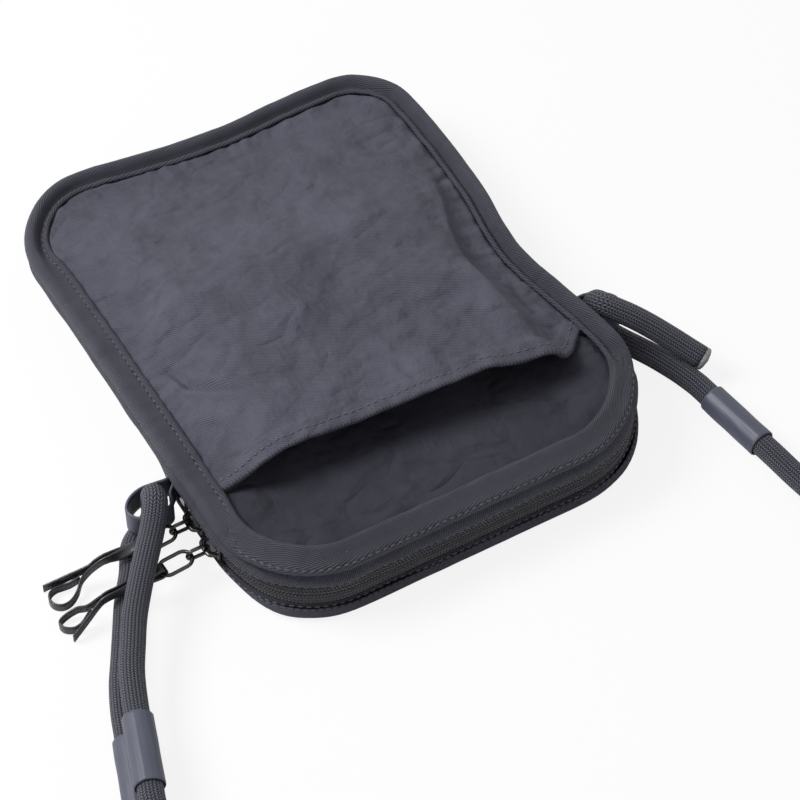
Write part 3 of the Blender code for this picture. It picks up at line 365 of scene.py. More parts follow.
def leatherPaint(name, colour, roughness, grain):
    paint = Paint(name, colour, roughness, Specular_IOR_Level=0.5)
    pores = paint.node("ShaderNodeTexVoronoi", values={"Vector": paint.place(), "Scale": grain})
    scuffs = paint.clouds(160, 4.0, 0.6)
    paint.set("Base Color", paint.blend(scuffs, shade(colour, 0.75), shade(colour, 1.35)))
    paint.set("Roughness", roughness + (scuffs - 0.5) * 0.3)
    paint.relief((scuffs, 0.00016), (pores, 0.00004))
    return paint.material


def seamLeather(name, colour, roughness):  # smooth sleeve leather, faintly drawn lengthwise
    paint = Paint(name, colour, roughness, Specular_IOR_Level=0.5)
    around, along = paint.cloth()
    drawn = paint.node("ShaderNodeTexNoise", values={
        "Vector": paint.node("ShaderNodeCombineXYZ", values=[around * 420, along * 60]),
        "Scale": 1.0, "Detail": 3.0})
    pores = paint.clouds(1500, 2.0)
    paint.set("Base Color", paint.blend(drawn, shade(colour, 0.82), shade(colour, 1.22)))
    paint.set("Roughness", roughness + (drawn - 0.5) * 0.2)
    paint.relief((drawn, 0.00020), (pores, 0.00003))
    return paint.material


paints["strip"] = leatherPaint("pullLeather", (0.024, 0.024, 0.029), 0.30, 2600)
paints["satin"] = seamLeather("sleeveLeather", (0.070, 0.075, 0.108), 0.47)


def enamelPaint():
    paint = Paint("blackEnamel", (0.006, 0.006, 0.007), 0.20, Specular_IOR_Level=0.5,
                  Coat_Weight=0.5, Coat_Roughness=0.04)
    wear = paint.clouds(420, 4.0, 0.7)
    paint.set("Roughness", 0.14 + wear * 0.2)
    paint.relief((wear, 0.00003))
    return paint.material


def meltedPaint():
    paint = Paint("meltedEnd", (0.20, 0.20, 0.215), 0.45)
    lumps = paint.clouds(900, 3.0)
    paint.set("Base Color", paint.blend(lumps, (0.06, 0.06, 0.065, 1), (0.42, 0.42, 0.44, 1)))
    paint.relief((lumps, 0.0004))
    return paint.material


def threadPaint():
    paint = Paint("sewingThread", (0.055, 0.055, 0.066), 0.45, Sheen_Weight=0.2)
    ply = paint.clouds(3200, 2.0)
    paint.set("Base Color", paint.blend(ply, (0.030, 0.030, 0.037, 1), (0.105, 0.105, 0.125, 1)))
    paint.relief((ply, 0.00006))
    return paint.material


paints["enamel"], paints["melted"], paints["thread"] = enamelPaint(), meltedPaint(), threadPaint()
print("finishes made:", len(paints))

surfaces = {}  # what stitches are laid on: each shell's upper face and its normals


# Mesh builders
def addMesh(name, verts, faces, paintName, uvs=None, sharpAt=None):
    mesh = bpy.data.meshes.new(name)
    mesh.from_pydata([tuple(v) for v in verts], [], faces)
    if uvs is not None:
        layer = mesh.uv_layers.new(name="cloth")
        index = np.empty(len(mesh.loops), int)
        mesh.loops.foreach_get("vertex_index", index)
        layer.data.foreach_set("uv", np.asarray(uvs, np.float32)[index].ravel())
    form = bmesh.new()
    form.from_mesh(mesh)
    bmesh.ops.recalc_face_normals(form, faces=form.faces)
    form.to_mesh(mesh)
    form.free()
    mesh.shade_smooth()
    if sharpAt:
        mesh.set_sharp_from_angle(angle=math.radians(sharpAt))
    mesh.materials.append(paints[paintName])
    piece = bpy.data.objects.new(name, mesh)
    bpy.context.scene.collection.objects.link(piece)
    return piece


def faceNormals(grid, closed):
    along = np.roll(grid, -1, 1) - np.roll(grid, 1, 1)
    if not closed:
        along[:, 0], along[:, -1] = grid[:, 1] - grid[:, 0], grid[:, -1] - grid[:, -2]
    normals = np.cross(along, np.gradient(grid, axis=0))
    return normals / np.maximum(np.linalg.norm(normals, axis=2, keepdims=True), 1e-12)


def clothShell(name, rows, thick, paintName, closed=False, side=1, uv=None):
    # a sheet through a grid of points, with thickness and rounded edges
    grid = np.array(rows, float)
    normals = faceNormals(grid, closed) * side
    half = np.broadcast_to(np.asarray(thick, float) / 2, grid.shape[:2])[..., None]
    upper, lower = grid + normals * half, grid - normals * half
    surfaces[name] = (upper, normals)

    def edge(first, second):
        way = first - second
        length = np.maximum(np.linalg.norm(way, axis=1, keepdims=True), 1e-9)
        return way / length

    startMid = grid[0] + edge(grid[0], grid[1]) * half[0]
    endMid = grid[-1] + edge(grid[-1], grid[-2]) * half[-1]
    loop = np.concatenate([upper, endMid[None], lower[::-1], startMid[None]])
    count, across = loop.shape[0], loop.shape[1]
    if uv is None:
        run = np.linalg.norm(np.diff(grid, axis=1), axis=2).mean(0)
        drop = np.linalg.norm(np.diff(grid, axis=0), axis=2).mean(1)
        u = np.concatenate([[0], np.cumsum(run)])
        v = np.concatenate([[0], np.cumsum(drop)])
        uv = np.stack(np.meshgrid(u, v), axis=2)
    uvLoop = np.concatenate([uv, uv[-1:], uv[::-1], uv[:1]]).reshape(-1, 2)
    faces = []
    for r in range(count):
        below = (r + 1) % count
        for c in range(across if closed else across - 1):
            d = (c + 1) % across
            faces.append((r * across + c, r * across + d, below * across + d, below * across + c))
    if not closed:
        rowsIn = len(grid)
        for c in (0, across - 1):
            for r in range(rowsIn - 1):
                faces.append((r * across + c, (r + 1) * across + c,
                              (2 * rowsIn - r - 1) * across + c, (2 * rowsIn - r) * across + c))
            faces.append(((rowsIn - 1) * across + c, rowsIn * across + c, (rowsIn + 1) * across + c))
            faces.append(((count - 1) * across + c, c, (2 * rowsIn) * across + c))
    piece = addMesh(name, loop.reshape(-1, 3), faces, paintName, uvLoop)
    if closed:  # the last column runs on to the full length, not back to 0
        total = float(uv[0, -1, 0] + np.linalg.norm(grid[:, 0] - grid[:, -1], axis=1).mean())
        mesh = piece.data
        for face in mesh.polygons:
            columns = [mesh.loops[i].vertex_index % across for i in face.loop_indices]
            if max(columns) - min(columns) > 1:
                for i, column in zip(face.loop_indices, columns):
                    if column == 0:
                        mesh.uv_layers["cloth"].data[i].uv.x = total
    return piece


def turns(points, closed=False):  # frames along a line that don't twist
    points = np.array(points, float)
    tangents = np.roll(points, -1, 0) - np.roll(points, 1, 0)
    if not closed:
        tangents[0], tangents[-1] = points[1] - points[0], points[-1] - points[-2]
    tangents /= np.linalg.norm(tangents, axis=1, keepdims=True)
    up = np.array([0.0, 0, 1]) if abs(tangents[0][2]) < 0.9 else np.array([0.0, 1, 0])
    frames = []
    for tangent in tangents:
        up = up - tangent * (up @ tangent)
        up /= np.linalg.norm(up)
        frames.append((up, np.cross(tangent, up)))
    if closed:  # spread what is left of the twist
        end = frames[0][0]
        last = frames[-1]
        left = math.atan2(end @ last[1], end @ last[0])
        for i, (a, b) in enumerate(frames):
            turn = left * i / len(frames)
            frames[i] = (a * math.cos(turn) + b * math.sin(turn), b * math.cos(turn) - a * math.sin(turn))
    return tangents, frames


def tubeMesh(name, points, radius, sides, paintName, closed=False, shape=None, cap=True):
    # shape(run, turn) gives the radius share where the tube isn't plain
    points = np.array(points, float)
    tangents, frames = turns(points, closed)
    run = np.concatenate([[0], np.cumsum(np.linalg.norm(np.diff(points, axis=0), axis=1))])
    verts, uvs, faces = [], [], []
    rim = sides + 1  # one more column, so that the pattern closes at the seam
    for i, (point, (a, b)) in enumerate(zip(points, frames)):
        for k in range(rim):
            turn = math.tau * k / sides
            reach = radius * (shape(run[i], turn) if shape else 1)
            verts.append(point + (a * math.cos(turn) + b * math.sin(turn)) * reach)
            uvs.append((k / sides * math.tau * radius, run[i]))
    count = len(points)
    for i in range(count if closed else count - 1):
        j = (i + 1) % count
        for k in range(sides):
            faces.append((i * rim + k, i * rim + k + 1, j * rim + k + 1, j * rim + k))
    if cap and not closed:
        for i, way in ((0, -1), (count - 1, 1)):
            verts.append(points[i] + tangents[i] * way * radius * 0.12)
            uvs.append((0, run[i]))
            for k in range(sides):
                faces.append((i * rim + k, i * rim + k + 1, len(verts) - 1))
    piece = addMesh(name, verts, faces, paintName, uvs)
    form = bmesh.new()
    form.from_mesh(piece.data)
    bmesh.ops.remove_doubles(form, verts=form.verts, dist=1e-7)
    bmesh.ops.recalc_face_normals(form, faces=form.faces)
    form.to_mesh(piece.data)
    form.free()
    return piece


# Camera, as the photograph was taken
view = {"azimuth": -30.92, "elevation": 50.58, "roll": 1.055, "focalPixels": 2900, "pixels": 800,
        "sensor": 36, "distance": 1.1237, "target": (0.0152, -0.0321, 0.0)}


def makeCamera(look):
    a, e, roll = (math.radians(look[key]) for key in ("azimuth", "elevation", "roll"))
    back = Vector((math.sin(a) * math.cos(e), -math.cos(a) * math.cos(e), math.sin(e)))
    right = Vector((math.cos(a), math.sin(a), 0))
    up = back.cross(right)
    right, up = (right * math.cos(roll) + up * math.sin(roll),
                 up * math.cos(roll) - right * math.sin(roll))
    data = bpy.data.cameras.new("camera")
    data.sensor_width = look["sensor"]
    data.lens = look["focalPixels"] / look["pixels"] * look["sensor"]
    camera = bpy.data.objects.new("camera", data)
    bpy.context.scene.collection.objects.link(camera)
    camera.matrix_world = Matrix.Translation(Vector(look["target"]) + back * look["distance"]) \
        @ Matrix((right, up, back)).transposed().to_4x4()
    bpy.context.scene.camera = camera


makeCamera(view)
print("camera placed")

# Rope strap: routes as in the model
sewGap = 0.0003  # left between cloth pieces that end at the same line
strap = {
    "leftTail": [
        (-0.0960, -0.0423, 0.0150), (-0.0960, -0.0425, 0.0195), (-0.0964, -0.0437, 0.0240),
        (-0.0976, -0.0480, 0.0264), (-0.0996, -0.0515, 0.0255), (-0.1035, -0.0568, 0.0233),
        (-0.1110, -0.0660, 0.0213), (-0.1184, -0.0755, 0.0199), (-0.1254, -0.0853, 0.0187),
        (-0.1310, -0.0950, 0.0180), (-0.1362, -0.1045, 0.0175), (-0.1398, -0.1130, 0.0172),
        (-0.1433, -0.1228, 0.0171), (-0.1523, -0.1503, 0.0171), (-0.1547, -0.1580, 0.0171),
        (-0.1550, -0.1656, 0.0154), (-0.1529, -0.1745, 0.0110), (-0.1495, -0.1828, 0.0066),
        (-0.1464, -0.1905, 0.0049), (-0.1432, -0.1985, 0.0048)],
    "leftStrand": [
        (-0.0960, -0.0423, 0.0150), (-0.0961, -0.0421, 0.0112), (-0.0972, -0.0423, 0.0079),
        (-0.1000, -0.0431, 0.0057), (-0.1042, -0.0447, 0.0049), (-0.1078, -0.0476, 0.0048),
        (-0.1106, -0.0522, 0.0048), (-0.1142, -0.0588, 0.0048), (-0.1210, -0.0687, 0.0048),
        (-0.1274, -0.0800, 0.0048), (-0.1336, -0.0910, 0.0048), (-0.1392, -0.1010, 0.0050),
        (-0.1440, -0.1120, 0.0055), (-0.1466, -0.1195, 0.0058), (-0.1478, -0.1230, 0.0058),
        (-0.1573, -0.1512, 0.0058), (-0.1592, -0.1565, 0.0056), (-0.1612, -0.1655, 0.0050),
        (-0.1616, -0.1750, 0.0048), (-0.1606, -0.1850, 0.0048), (-0.1594, -0.1950, 0.0048),
        (-0.1587, -0.2050, 0.0048), (-0.1586, -0.2103, 0.0048)],
    "rightTail": [
        (0.0960, -0.0423, 0.0150), (0.0960, -0.0425, 0.0195), (0.0960, -0.0437, 0.0240),
        (0.0966, -0.0480, 0.0264), (0.0992, -0.0514, 0.0257), (0.1040, -0.0562, 0.0236),
        (0.1100, -0.0620, 0.0197), (0.1160, -0.0688, 0.0154), (0.1205, -0.0747, 0.0122),
        (0.1233, -0.0787, 0.0105)],
    "rightStrand": [
        (0.0960, -0.0423, 0.0150), (0.0961, -0.0421, 0.0112), (0.0972, -0.0425, 0.0079),
        (0.0996, -0.0441, 0.0057), (0.1020, -0.0472, 0.0049), (0.1042, -0.0520, 0.0048),
        (0.1070, -0.0576, 0.0048), (0.1100, -0.0638, 0.0048), (0.1128, -0.0706, 0.0048),
        (0.1151, -0.0786, 0.0054), (0.1168, -0.0864, 0.0058), (0.1174, -0.0904, 0.0058),
        (0.1179, -0.0943, 0.0058), (0.1218, -0.1230, 0.0058), (0.1229, -0.1311, 0.0058),
        (0.1243, -0.1400, 0.0052), (0.1259, -0.1490, 0.0048), (0.1278, -0.1630, 0.0048),
        (0.1275, -0.1810, 0.0048), (0.1225, -0.2030, 0.0048), (0.1120, -0.2260, 0.0048),
        (0.0950, -0.2490, 0.0048), (0.0730, -0.2680, 0.0048), (0.0450, -0.2820, 0.0048),
        (0.0130, -0.2900, 0.0048), (-0.0210, -0.2920, 0.0048), (-0.0560, -0.2900, 0.0048),
        (-0.0900, -0.2840, 0.0048), (-0.1170, -0.2765, 0.0048), (-0.1330, -0.2690, 0.0054),
        (-0.1445, -0.2600, 0.0074), (-0.1525, -0.2500, 0.0108), (-0.1570, -0.2410, 0.0140),
        (-0.1585, -0.2345, 0.0150), (-0.1586, -0.2297, 0.0151)],
    "coil": {"centre": (-0.2150, -0.2200), "across": 0.102, "pitch": 0.0108, "layer": 0.0103,
             "turns": 2, "climb": 0.25, "points": 72, "floorGap": 0.0001},
    "sleeves": {"left_front": ("leftTail", 12), "left_back": ("leftStrand", 14),
                "right": ("rightStrand", 12)},
    "sleeveLength": 0.029, "sleeveBore": 0.0050, "sleeveWall": 0.00065, "sealLength": 0.0022,
}


def coilPoints():
    look = strap["coil"]
    half, points = look["turns"] / 2, []
    for i in range(look["points"] * look["turns"] + 1):
        turn = i / look["points"]
        climb = smooth(turn, half - look["climb"], half + look["climb"])
        radius = look["across"] / 2 + look["pitch"] * (abs(turn - half) - half / 2)
        points.append((look["centre"][0] + radius * math.cos(-math.tau * turn),
                       look["centre"][1] + radius * math.sin(-math.tau * turn),
                       rope["diameter"] / 2 + look["floorGap"] + look["layer"] * climb))
    return points


def ropeLength(points):
    return float(np.linalg.norm(np.diff(np.array(points), axis=0), axis=1).sum())


def evenly(points, step):
    return spline(points, max(8, round(ropeLength(points) / step)))


def makeStrap():
    radius = rope["diameter"] / 2
    main = strap["leftStrand"][:-1] + coilPoints()[::3] + strap["rightStrand"][::-1]
    line = evenly(main, rope["step"])
    body = tubeMesh("ropeStrap", line, radius, rope["sides"], "rope")
    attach(body, "pouch")
    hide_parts("strap_run_left", "strap_coil", "strap_run_right")
    tails = {}
    for sideName in ("left", "right"):
        route = strap[f"{sideName}Tail"]
        tail = evenly(route, rope["step"])
        piece = tubeMesh(f"ropeTail{sideName.title()}", tail, radius, rope["sides"], "rope")
        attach(piece, "pouch")
        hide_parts(f"strap_tail_{sideName}")
        way = tail[-1] - tail[-2]
        way /= np.linalg.norm(way)
        tip = tail[-1] + way * 0.0002

        def melt(run, turn, seed=len(tails)):
            share = min(1, run / strap["sealLength"])
            rounded = math.sqrt(max(0.05, 1 - max(0, share - 0.5) ** 2 * 2.2))
            return rounded * (1 + 0.05 * ripple(math.cos(turn), math.sin(turn), share, 0.6, seed))

        seal = tubeMesh(f"ropeEnd{sideName.title()}",
                        [tip + way * strap["sealLength"] * i / 6 for i in range(7)],
                        radius * 0.99, 36, "melted", shape=melt)
        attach(seal, "pouch")
        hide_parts(f"strap_end_{sideName}")
        tails[sideName] = (piece, tail, seal)
    for name, (routeName, first) in strap["sleeves"].items():
        start, towards = (np.array(p) for p in strap[routeName][first:first + 2])
        way = (towards - start) / np.linalg.norm(towards - start)
        makeSleeve(name, start, way)
    for sideName, (piece, tail, seal) in tails.items():
        ([tuple(p) for p in tail[::2]]
                + [tuple(tail[-1])])


def makeSleeve(name, start, way):  # a leather tube, sewn shut along its upper side
    bore, wall, length = strap["sleeveBore"], strap["sleeveWall"], strap["sleeveLength"]
    outer = bore + wall
    up = np.array([0.0, 0, 1])
    up = up - way * (up @ way)
    up /= np.linalg.norm(up)
    across = np.cross(way, up)
    sides = 48
    section = [(bore, 0.0012), (bore, 0.0003), (bore + wall * 0.5, 0.0), (outer, 0.0004), (outer, 0.0014)]
    section += [(outer, mix(0.0014, length - 0.0014, i / 14)) for i in range(1, 14)]
    section += [(outer, length - 0.0014), (outer, length - 0.0004), (bore + wall * 0.5, length),
                (bore, length - 0.0003), (bore, length - 0.0012)]
    verts, uvs, faces = [], [], []
    for i, (reach, run) in enumerate(section):
        for k in range(sides + 1):
            turn = math.tau * k / sides
            swell = 0.00016 * ripple(math.cos(turn), math.sin(turn), run * 90, 0.8, len(name))
            seam = 0.00028 * math.exp(-((turn - math.pi * 0.42) / 0.05) ** 2)
            outside = reach > bore + wall * 0.6
            out = reach + ((swell + seam) if outside else 0)
            verts.append(start + way * run + (across * math.cos(turn) + up * math.sin(turn)) * out)
            uvs.append((k / sides * math.tau * outer, run))
    rim = sides + 1
    for i in range(len(section)):
        j = (i + 1) % len(section)
        for k in range(sides):
            faces.append((i * rim + k, i * rim + k + 1, j * rim + k + 1, j * rim + k))
    piece = addMesh(f"sleeve{name.title().replace('_', '')}", verts, faces, "satin", uvs)
    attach(piece, f"sleeve_{name}")
    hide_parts(f"sleeve_{name}")
    return piece


makeStrap()
print("strap laid")

# Pouch top: the slip pocket's cloth, puffed up and creased from use
pocket = {
    "rim": 0.0022, "hemY": -0.0614, "z": 0.0305, "crown": 0.0118, "crownRun": 0.030,
    "endShare": 0.30, "fallStart": 0.020, "fallEnd": 0.080, "bindingWidth": 0.0095,
    "sink": 0.0020, "thick": 0.0010, "hemThick": 0.0022, "hemWidth": 0.0075,
    "columns": 180, "rows": 190, "stitchRow": 4,
    "ridge": 0.0046, "ridgeLeft": 0.018, "ridgeRight": 0.0036, "ridgeRound": 0.0004, "pucker": 0.0017,
    "crest": [(-0.072, 0.0590), (-0.066, 0.0578), (-0.0588, 0.0567), (-0.048, 0.0560), (-0.031, 0.0564),
              (-0.0085, 0.0598), (0.014, 0.0638), (0.055, 0.0745)],
    "hemLine": [(-0.090, 0.0), (-0.060, 0.0), (-0.032, -0.0004), (-0.003, -0.0016), (0.030, -0.0024),
                (0.0498, -0.0054), (0.0600, -0.0074), (0.0625, -0.0066), (0.0767, 0.0062), (0.090, 0.0066)],
    "creases": [  # points in metres, depth, width
        ([(-0.0690, 0.0040), (-0.0660, -0.0034), (-0.0636, -0.0126), (-0.0579, -0.0202),
          (-0.0500, -0.0280), (-0.0400, -0.0340)], 0.0018, 0.0018),
        ([(-0.0700, 0.0220), (-0.0640, 0.0100), (-0.0560, 0.0020)], 0.0005, 0.0030),
        ([(-0.0740, -0.028), (-0.0680, -0.032), (-0.0600, -0.041)], 0.0007, 0.0022),
        ([(-0.0720, 0.046), (-0.0600, 0.036), (-0.0480, 0.032)], 0.0009, 0.0024),
        ([(0.0080, -0.060), (0.0060, -0.050), (0.0090, -0.040)], 0.0006, 0.0024),
        ([(0.0180, -0.064), (0.0220, -0.052), (0.0200, -0.044)], 0.0005, 0.0022),
        ([(0.0740, -0.020), (0.0690, -0.034), (0.0670, -0.050)], 0.0009, 0.0026)],
}


def crown(x, y, run):
    return smooth(depth(x, y) - pocket["bindingWidth"], 0, run)


def nearLine(x, y, points):  # distance to a line and how far along it
    best = (9.0, 0.0)
    total = len(points) - 1
    for i, ((ax, ay), (bx, by)) in enumerate(zip(points, points[1:])):
        dx, dy = bx - ax, by - ay
        t = min(1, max(0, ((x - ax) * dx + (y - ay) * dy) / (dx * dx + dy * dy)))
        away = math.hypot(x - ax - dx * t, y - ay - dy * t)
        if away < best[0]:
            best = (away, (i + t) / total)
    return best


def creaseDepth(x, y):
    push = 0.0
    for points, deep, wide in pocket["creases"]:
        away, share = nearLine(x, y, points)
        if away < wide * 4:
            taper = smooth(share, 0, 0.25) * (1 - smooth(share, 0.6, 1.0))
            beside = (away - wide * 1.6) / wide
            push -= deep * taper * (math.exp(-(away / wide) ** 2) - 0.45 * math.exp(-beside ** 2))
    return push


def rolled(x, y):  # 1 where the rim binding rolls up, 0 where it lies flat
    return (1 - smooth(-x, 0.050, 0.082) * (1 - smooth(y, 0.060, 0.090))) * smooth(y, -0.088, -0.064)


def underBinding(x, y):
    return -0.0024 * rolled(x, y) * (1 - smooth(depth(x, y), 0.0070, 0.0096))


def pocketHeight(x, y):
    p = pocket
    inside = crown(x, y, p["crownRun"])
    fall = smooth(y, p["fallStart"], p["fallEnd"])
    rise = p["crown"] * inside * (1 - (1 - p["endShare"]) * fall)
    nearMouth = 1 - smooth(y, pouch["foldY"], pouch["foldY"] + p["crownRun"])
    sink = p["sink"] * nearMouth * smooth(x, pouch["halfWidth"] * 0.3, pouch["halfWidth"] * 0.7)
    rise -= sink * smooth(rise, 0, p["sink"])
    soft = smooth(depth(x, y) - p["bindingWidth"], -0.002, 0.012)
    ys, xs = zip(*p["crest"])
    crestX = float(np.interp(y, ys, xs))
    off = x - crestX
    ridge = p["ridge"] * smooth(y, -0.090, -0.066) * (1 - smooth(y, 0.020, 0.066))
    away = math.sqrt(off * off + p["ridgeRound"] ** 2)
    rise += ridge * math.exp(-away / (p["ridgeLeft"] if off < 0 else p["ridgeRight"])) * soft
    rumple = 0.0024 * ripple(x, y, 0, 0.034, 1) + 0.0014 * ripple(x, y, 0, 0.015, 2) \
        + 0.0005 * ripple(x, y, 0, 0.0065, 3) - 0.0012 * abs(ripple(x, y, 0, 0.020, 5))
    edge = math.exp(-max(0, depth(x, y) - 0.0090) / 0.0060) * smooth(depth(x, y), 0.0072, 0.0095)
    around = math.atan2(y, x * 1.2) * 0.095
    pucker = p["pucker"] * edge * ripple(around, 0, 0, 0.0044, 4)
    hem = 0.0007 * (1 - smooth(y, -0.062, -0.050)) * ripple(x, 0, 0, 0.0075, 6)
    return p["z"] + rise + rumple * soft + pucker + hem + creaseDepth(x, y) * soft + underBinding(x, y)


def hemShift(x):  # how the mouth's edge has moved off its sewn line
    xs, shifts = zip(*pocket["hemLine"])
    return float(np.interp(x, xs, shifts))


def sideAt(y, inset, radius, endY):
    corner = endY - math.copysign(radius, endY)
    past = abs(y) - abs(corner) if y * endY > 0 else -1
    if past <= 0:
        return inset
    reach = radius - inset
    return radius - math.sqrt(max(0.0, reach * reach - past * past))


def endRows(start, end, corner, count):  # rows that crowd towards a rounded end
    rows = [mix(start, end, i / count) for i in range(count + 1)]
    span = abs(end - corner)
    return [y if abs(y) < abs(corner) else
            math.copysign(abs(corner) + span * math.sin(math.pi / 2 * (abs(y) - abs(corner)) / span), end)
            for y in rows]


def makePocket():
    p = pocket
    w, l = pouch["halfWidth"], pouch["halfLength"]
    ys = endRows(p["hemY"], l - p["rim"] - pouch["rimGap"], l - pouch["farLeftRadius"], p["rows"])
    rows, thick, flat = [], [], []
    for y in ys:
        left = -w + sideAt(y, p["rim"], pouch["farLeftRadius"], l)
        right = w - sideAt(y, p["rim"], pouch["farRightRadius"], l)
        row, flatRow = [], []
        for i in range(p["columns"] + 1):
            x = mix(left, right, i / p["columns"])
            moved = y + hemShift(x) * (1 - smooth(y, p["hemY"], p["hemY"] + 0.030))
            row.append(settle(x, moved, pocketHeight(x, moved)))
            flatRow.append((x, y))
        rows.append(row)
        flat.append(flatRow)
        fold = 1 - smooth(y - p["hemY"], p["hemWidth"] - 0.0004, p["hemWidth"] + 0.0008)
        thick.append([mix(p["thick"], p["hemThick"], fold)] * (p["columns"] + 1))
    piece = clothShell("pocketCloth", rows, thick, "nylon", uv=np.array(flat))
    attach(piece, "pouch")
    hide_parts("pocket_panel", "pocket_hem")


lining = {"rim": 0.0022, "z": 0.0290, "dish": 0.0042, "farDish": 0.0006, "thick": 0.0010,
          "columns": 120, "rows": 130,
          "creases": [([(0.050, -0.070), (0.056, -0.082), (0.052, -0.098)], 0.0016, 0.0030),
                      ([(-0.045, -0.100), (-0.020, -0.098), (0.012, -0.094)], 0.0012, 0.0026),
                      ([(-0.050, -0.080), (-0.058, -0.088), (-0.052, -0.097)], 0.0012, 0.0024)]}


def liningHeight(x, y):
    inside = crown(x, y, pocket["crownRun"])
    reach = 1 - smooth(y, pouch["foldY"], pouch["foldY"] + pocket["crownRun"])
    dish = mix(lining["farDish"], lining["dish"], reach)
    rumple = 0.0014 * ripple(x, y, 0, 0.026, 11) + 0.0006 * ripple(x, y, 0, 0.011, 12)
    for points, deep, wide in lining["creases"]:
        away, share = nearLine(x, y, points)
        rumple -= deep * math.sin(math.pi * share) * math.exp(-(away / wide) ** 2)
    return lining["z"] - dish * inside + rumple * smooth(depth(x, y), 0.010, 0.020) + underBinding(x, y)


def makeLining():
    p = lining
    w, l = pouch["halfWidth"], pouch["halfLength"]
    near = endRows(0.0, -l + p["rim"] + pouch["rimGap"], -l + pouch["nearRadius"], p["rows"] // 2)
    far = endRows(0.0, l - p["rim"] - pouch["rimGap"], l - pouch["farLeftRadius"], p["rows"] // 2)
    rows, flat = [], []
    for y in near[::-1] + far[1:]:
        radii = (pouch["nearRadius"],) * 2 if y < 0 else (pouch["farLeftRadius"], pouch["farRightRadius"])
        left = -w + sideAt(y, p["rim"], radii[0], math.copysign(l, y))
        right = w - sideAt(y, p["rim"], radii[1], math.copysign(l, y))
        xs = [mix(left, right, i / p["columns"]) for i in range(p["columns"] + 1)]
        rows.append([settle(x, y, liningHeight(x, y)) for x in xs])
        flat.append([(x, y) for x in xs])
    piece = clothShell("innerPanel", rows, p["thick"], "lining", uv=np.array(flat))
    bendAtFold(piece)
    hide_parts("front_panel_far", "front_panel_near")


def bendAtFold(piece):
    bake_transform(piece)


binding = {
    "thick": 0.0010, "steps": 40, "seam": (0.84, 0.27), "seamWidth": 0.026, "seamDip": 0.00060,
    "roll": [(0.0002, 0.0270), (-0.0007, 0.0292), (-0.0006, 0.0320), (0.0006, 0.0340), (0.0021, 0.0342),
             (0.0033, 0.0328), (0.0043, 0.0306), (0.0053, 0.0297), (0.0064, 0.0305), (0.0073, 0.0320),
             (0.0081, 0.0312)],
    "flat": [(0.0002, 0.0270), (-0.0005, 0.0292), (-0.0003, 0.0312), (0.0004, 0.0325), (0.0015, 0.0330),
             (0.0030, 0.0327), (0.0046, 0.0323), (0.0062, 0.0320), (0.0076, 0.0320), (0.0090, 0.0322),
             (0.0100, 0.0316)],
    "lip": [(0.0004, 0.0268), (-0.0006, 0.0280), (-0.0008, 0.0294), (-0.0001, 0.0306), (0.0013, 0.0312),
            (0.0028, 0.0317), (0.0043, 0.0325), (0.0057, 0.0333), (0.0069, 0.0338), (0.0079, 0.0332),
            (0.0085, 0.0314)],
}


def bindingProfiles(outline):  # one section for each place along the rim
    made = []
    for x, y in outline:
        lip = 1 - smooth(y, -0.088, -0.064)
        flat = smooth(-x, 0.050, 0.082) * (1 - smooth(y, 0.060, 0.090))
        section = []
        for a, b, c in zip(binding["roll"], binding["flat"], binding["lip"]):
            point = [mix(mix(p, q, flat), r, lip) for p, q, r in zip(a, b, c)]
            section.append(point)
        made.append(spline(section, binding["steps"]))
    return made


def seamShare(y):  # the seam moves from the inner edge to the outer one round the mouth
    return mix(*binding["seam"], 1 - smooth(y, -0.088, -0.070))


def makeBinding():
    base = ringOutline(0.0)
    sections = bindingProfiles(base)
    cache = {}
    rows = []
    for k in range(binding["steps"]):
        row = []
        for i, (x0, y0) in enumerate(base):
            inset, z = sections[i][k]
            key = round(float(inset), 5)
            if key not in cache:
                cache[key] = ringOutline(key)
            x, y = cache[key][i]
            share = k / (binding["steps"] - 1)
            wave = 0.00060 * ripple(x0, y0, share * 0.004, 0.012, 21) \
                + 0.00060 * share * ripple(x0, y0, share * 0.006, 0.0050, 22)
            dip = binding["seamDip"] * math.exp(-((share - seamShare(y0)) / binding["seamWidth"]) ** 2)
            row.append(settle(x, y, z + wave * smooth(share, 0.0, 0.3) - dip))
        rows.append(row)
    piece = clothShell("rimBinding", rows, binding["thick"], "binding", closed=True, side=-1)
    bendAtFold(piece)
    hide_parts("edge_binding_far", "edge_binding_near")


def bandRows(outline, profile, steps, ruffle=0.0, size=0.014, seed=31, push=0.0):
    points = spline(profile, steps)
    rows = []
    for k, (inset, z) in enumerate(points):
        share = k / (steps - 1)
        hold = math.sin(math.pi * share) ** 0.6
        row = []
        for x, y in outline(float(inset)):
            away = ruffle * hold * ripple(x, y, z * 2.2, size, seed) + push * smooth(-y, 0.078, 0.098)
            radial = Vector((x, y)).normalized()
            row.append(settle(x + radial.x * away, y + radial.y * away, z))
        rows.append(row)
    return rows


walls = {
    "upper": [(0.0026, 0.0192), (0.0007, 0.0200), (-0.0003, 0.0213), (0.0002, 0.0229), (0.0014, 0.0244),
              (0.0021, 0.0262), (0.0020, 0.0288)],
    "side": [(0.0026, 0.0023), (0.0021, 0.0060), (0.0018, 0.0100), (0.0016, 0.0140), (0.0019, 0.0190)],
    "lower": [(0.0026, 0.0023), (0.0014, 0.0038), (0.0012, 0.0056), (0.0019, 0.0074)],
    "back": [(0.0052, 0.0007), (0.0030, 0.0007), (0.0014, 0.0007), (0.0003, 0.0017), (-0.0003, 0.0031),
             (-0.0002, 0.0046), (0.0001, 0.0061)],
    "thick": 0.0011,
}


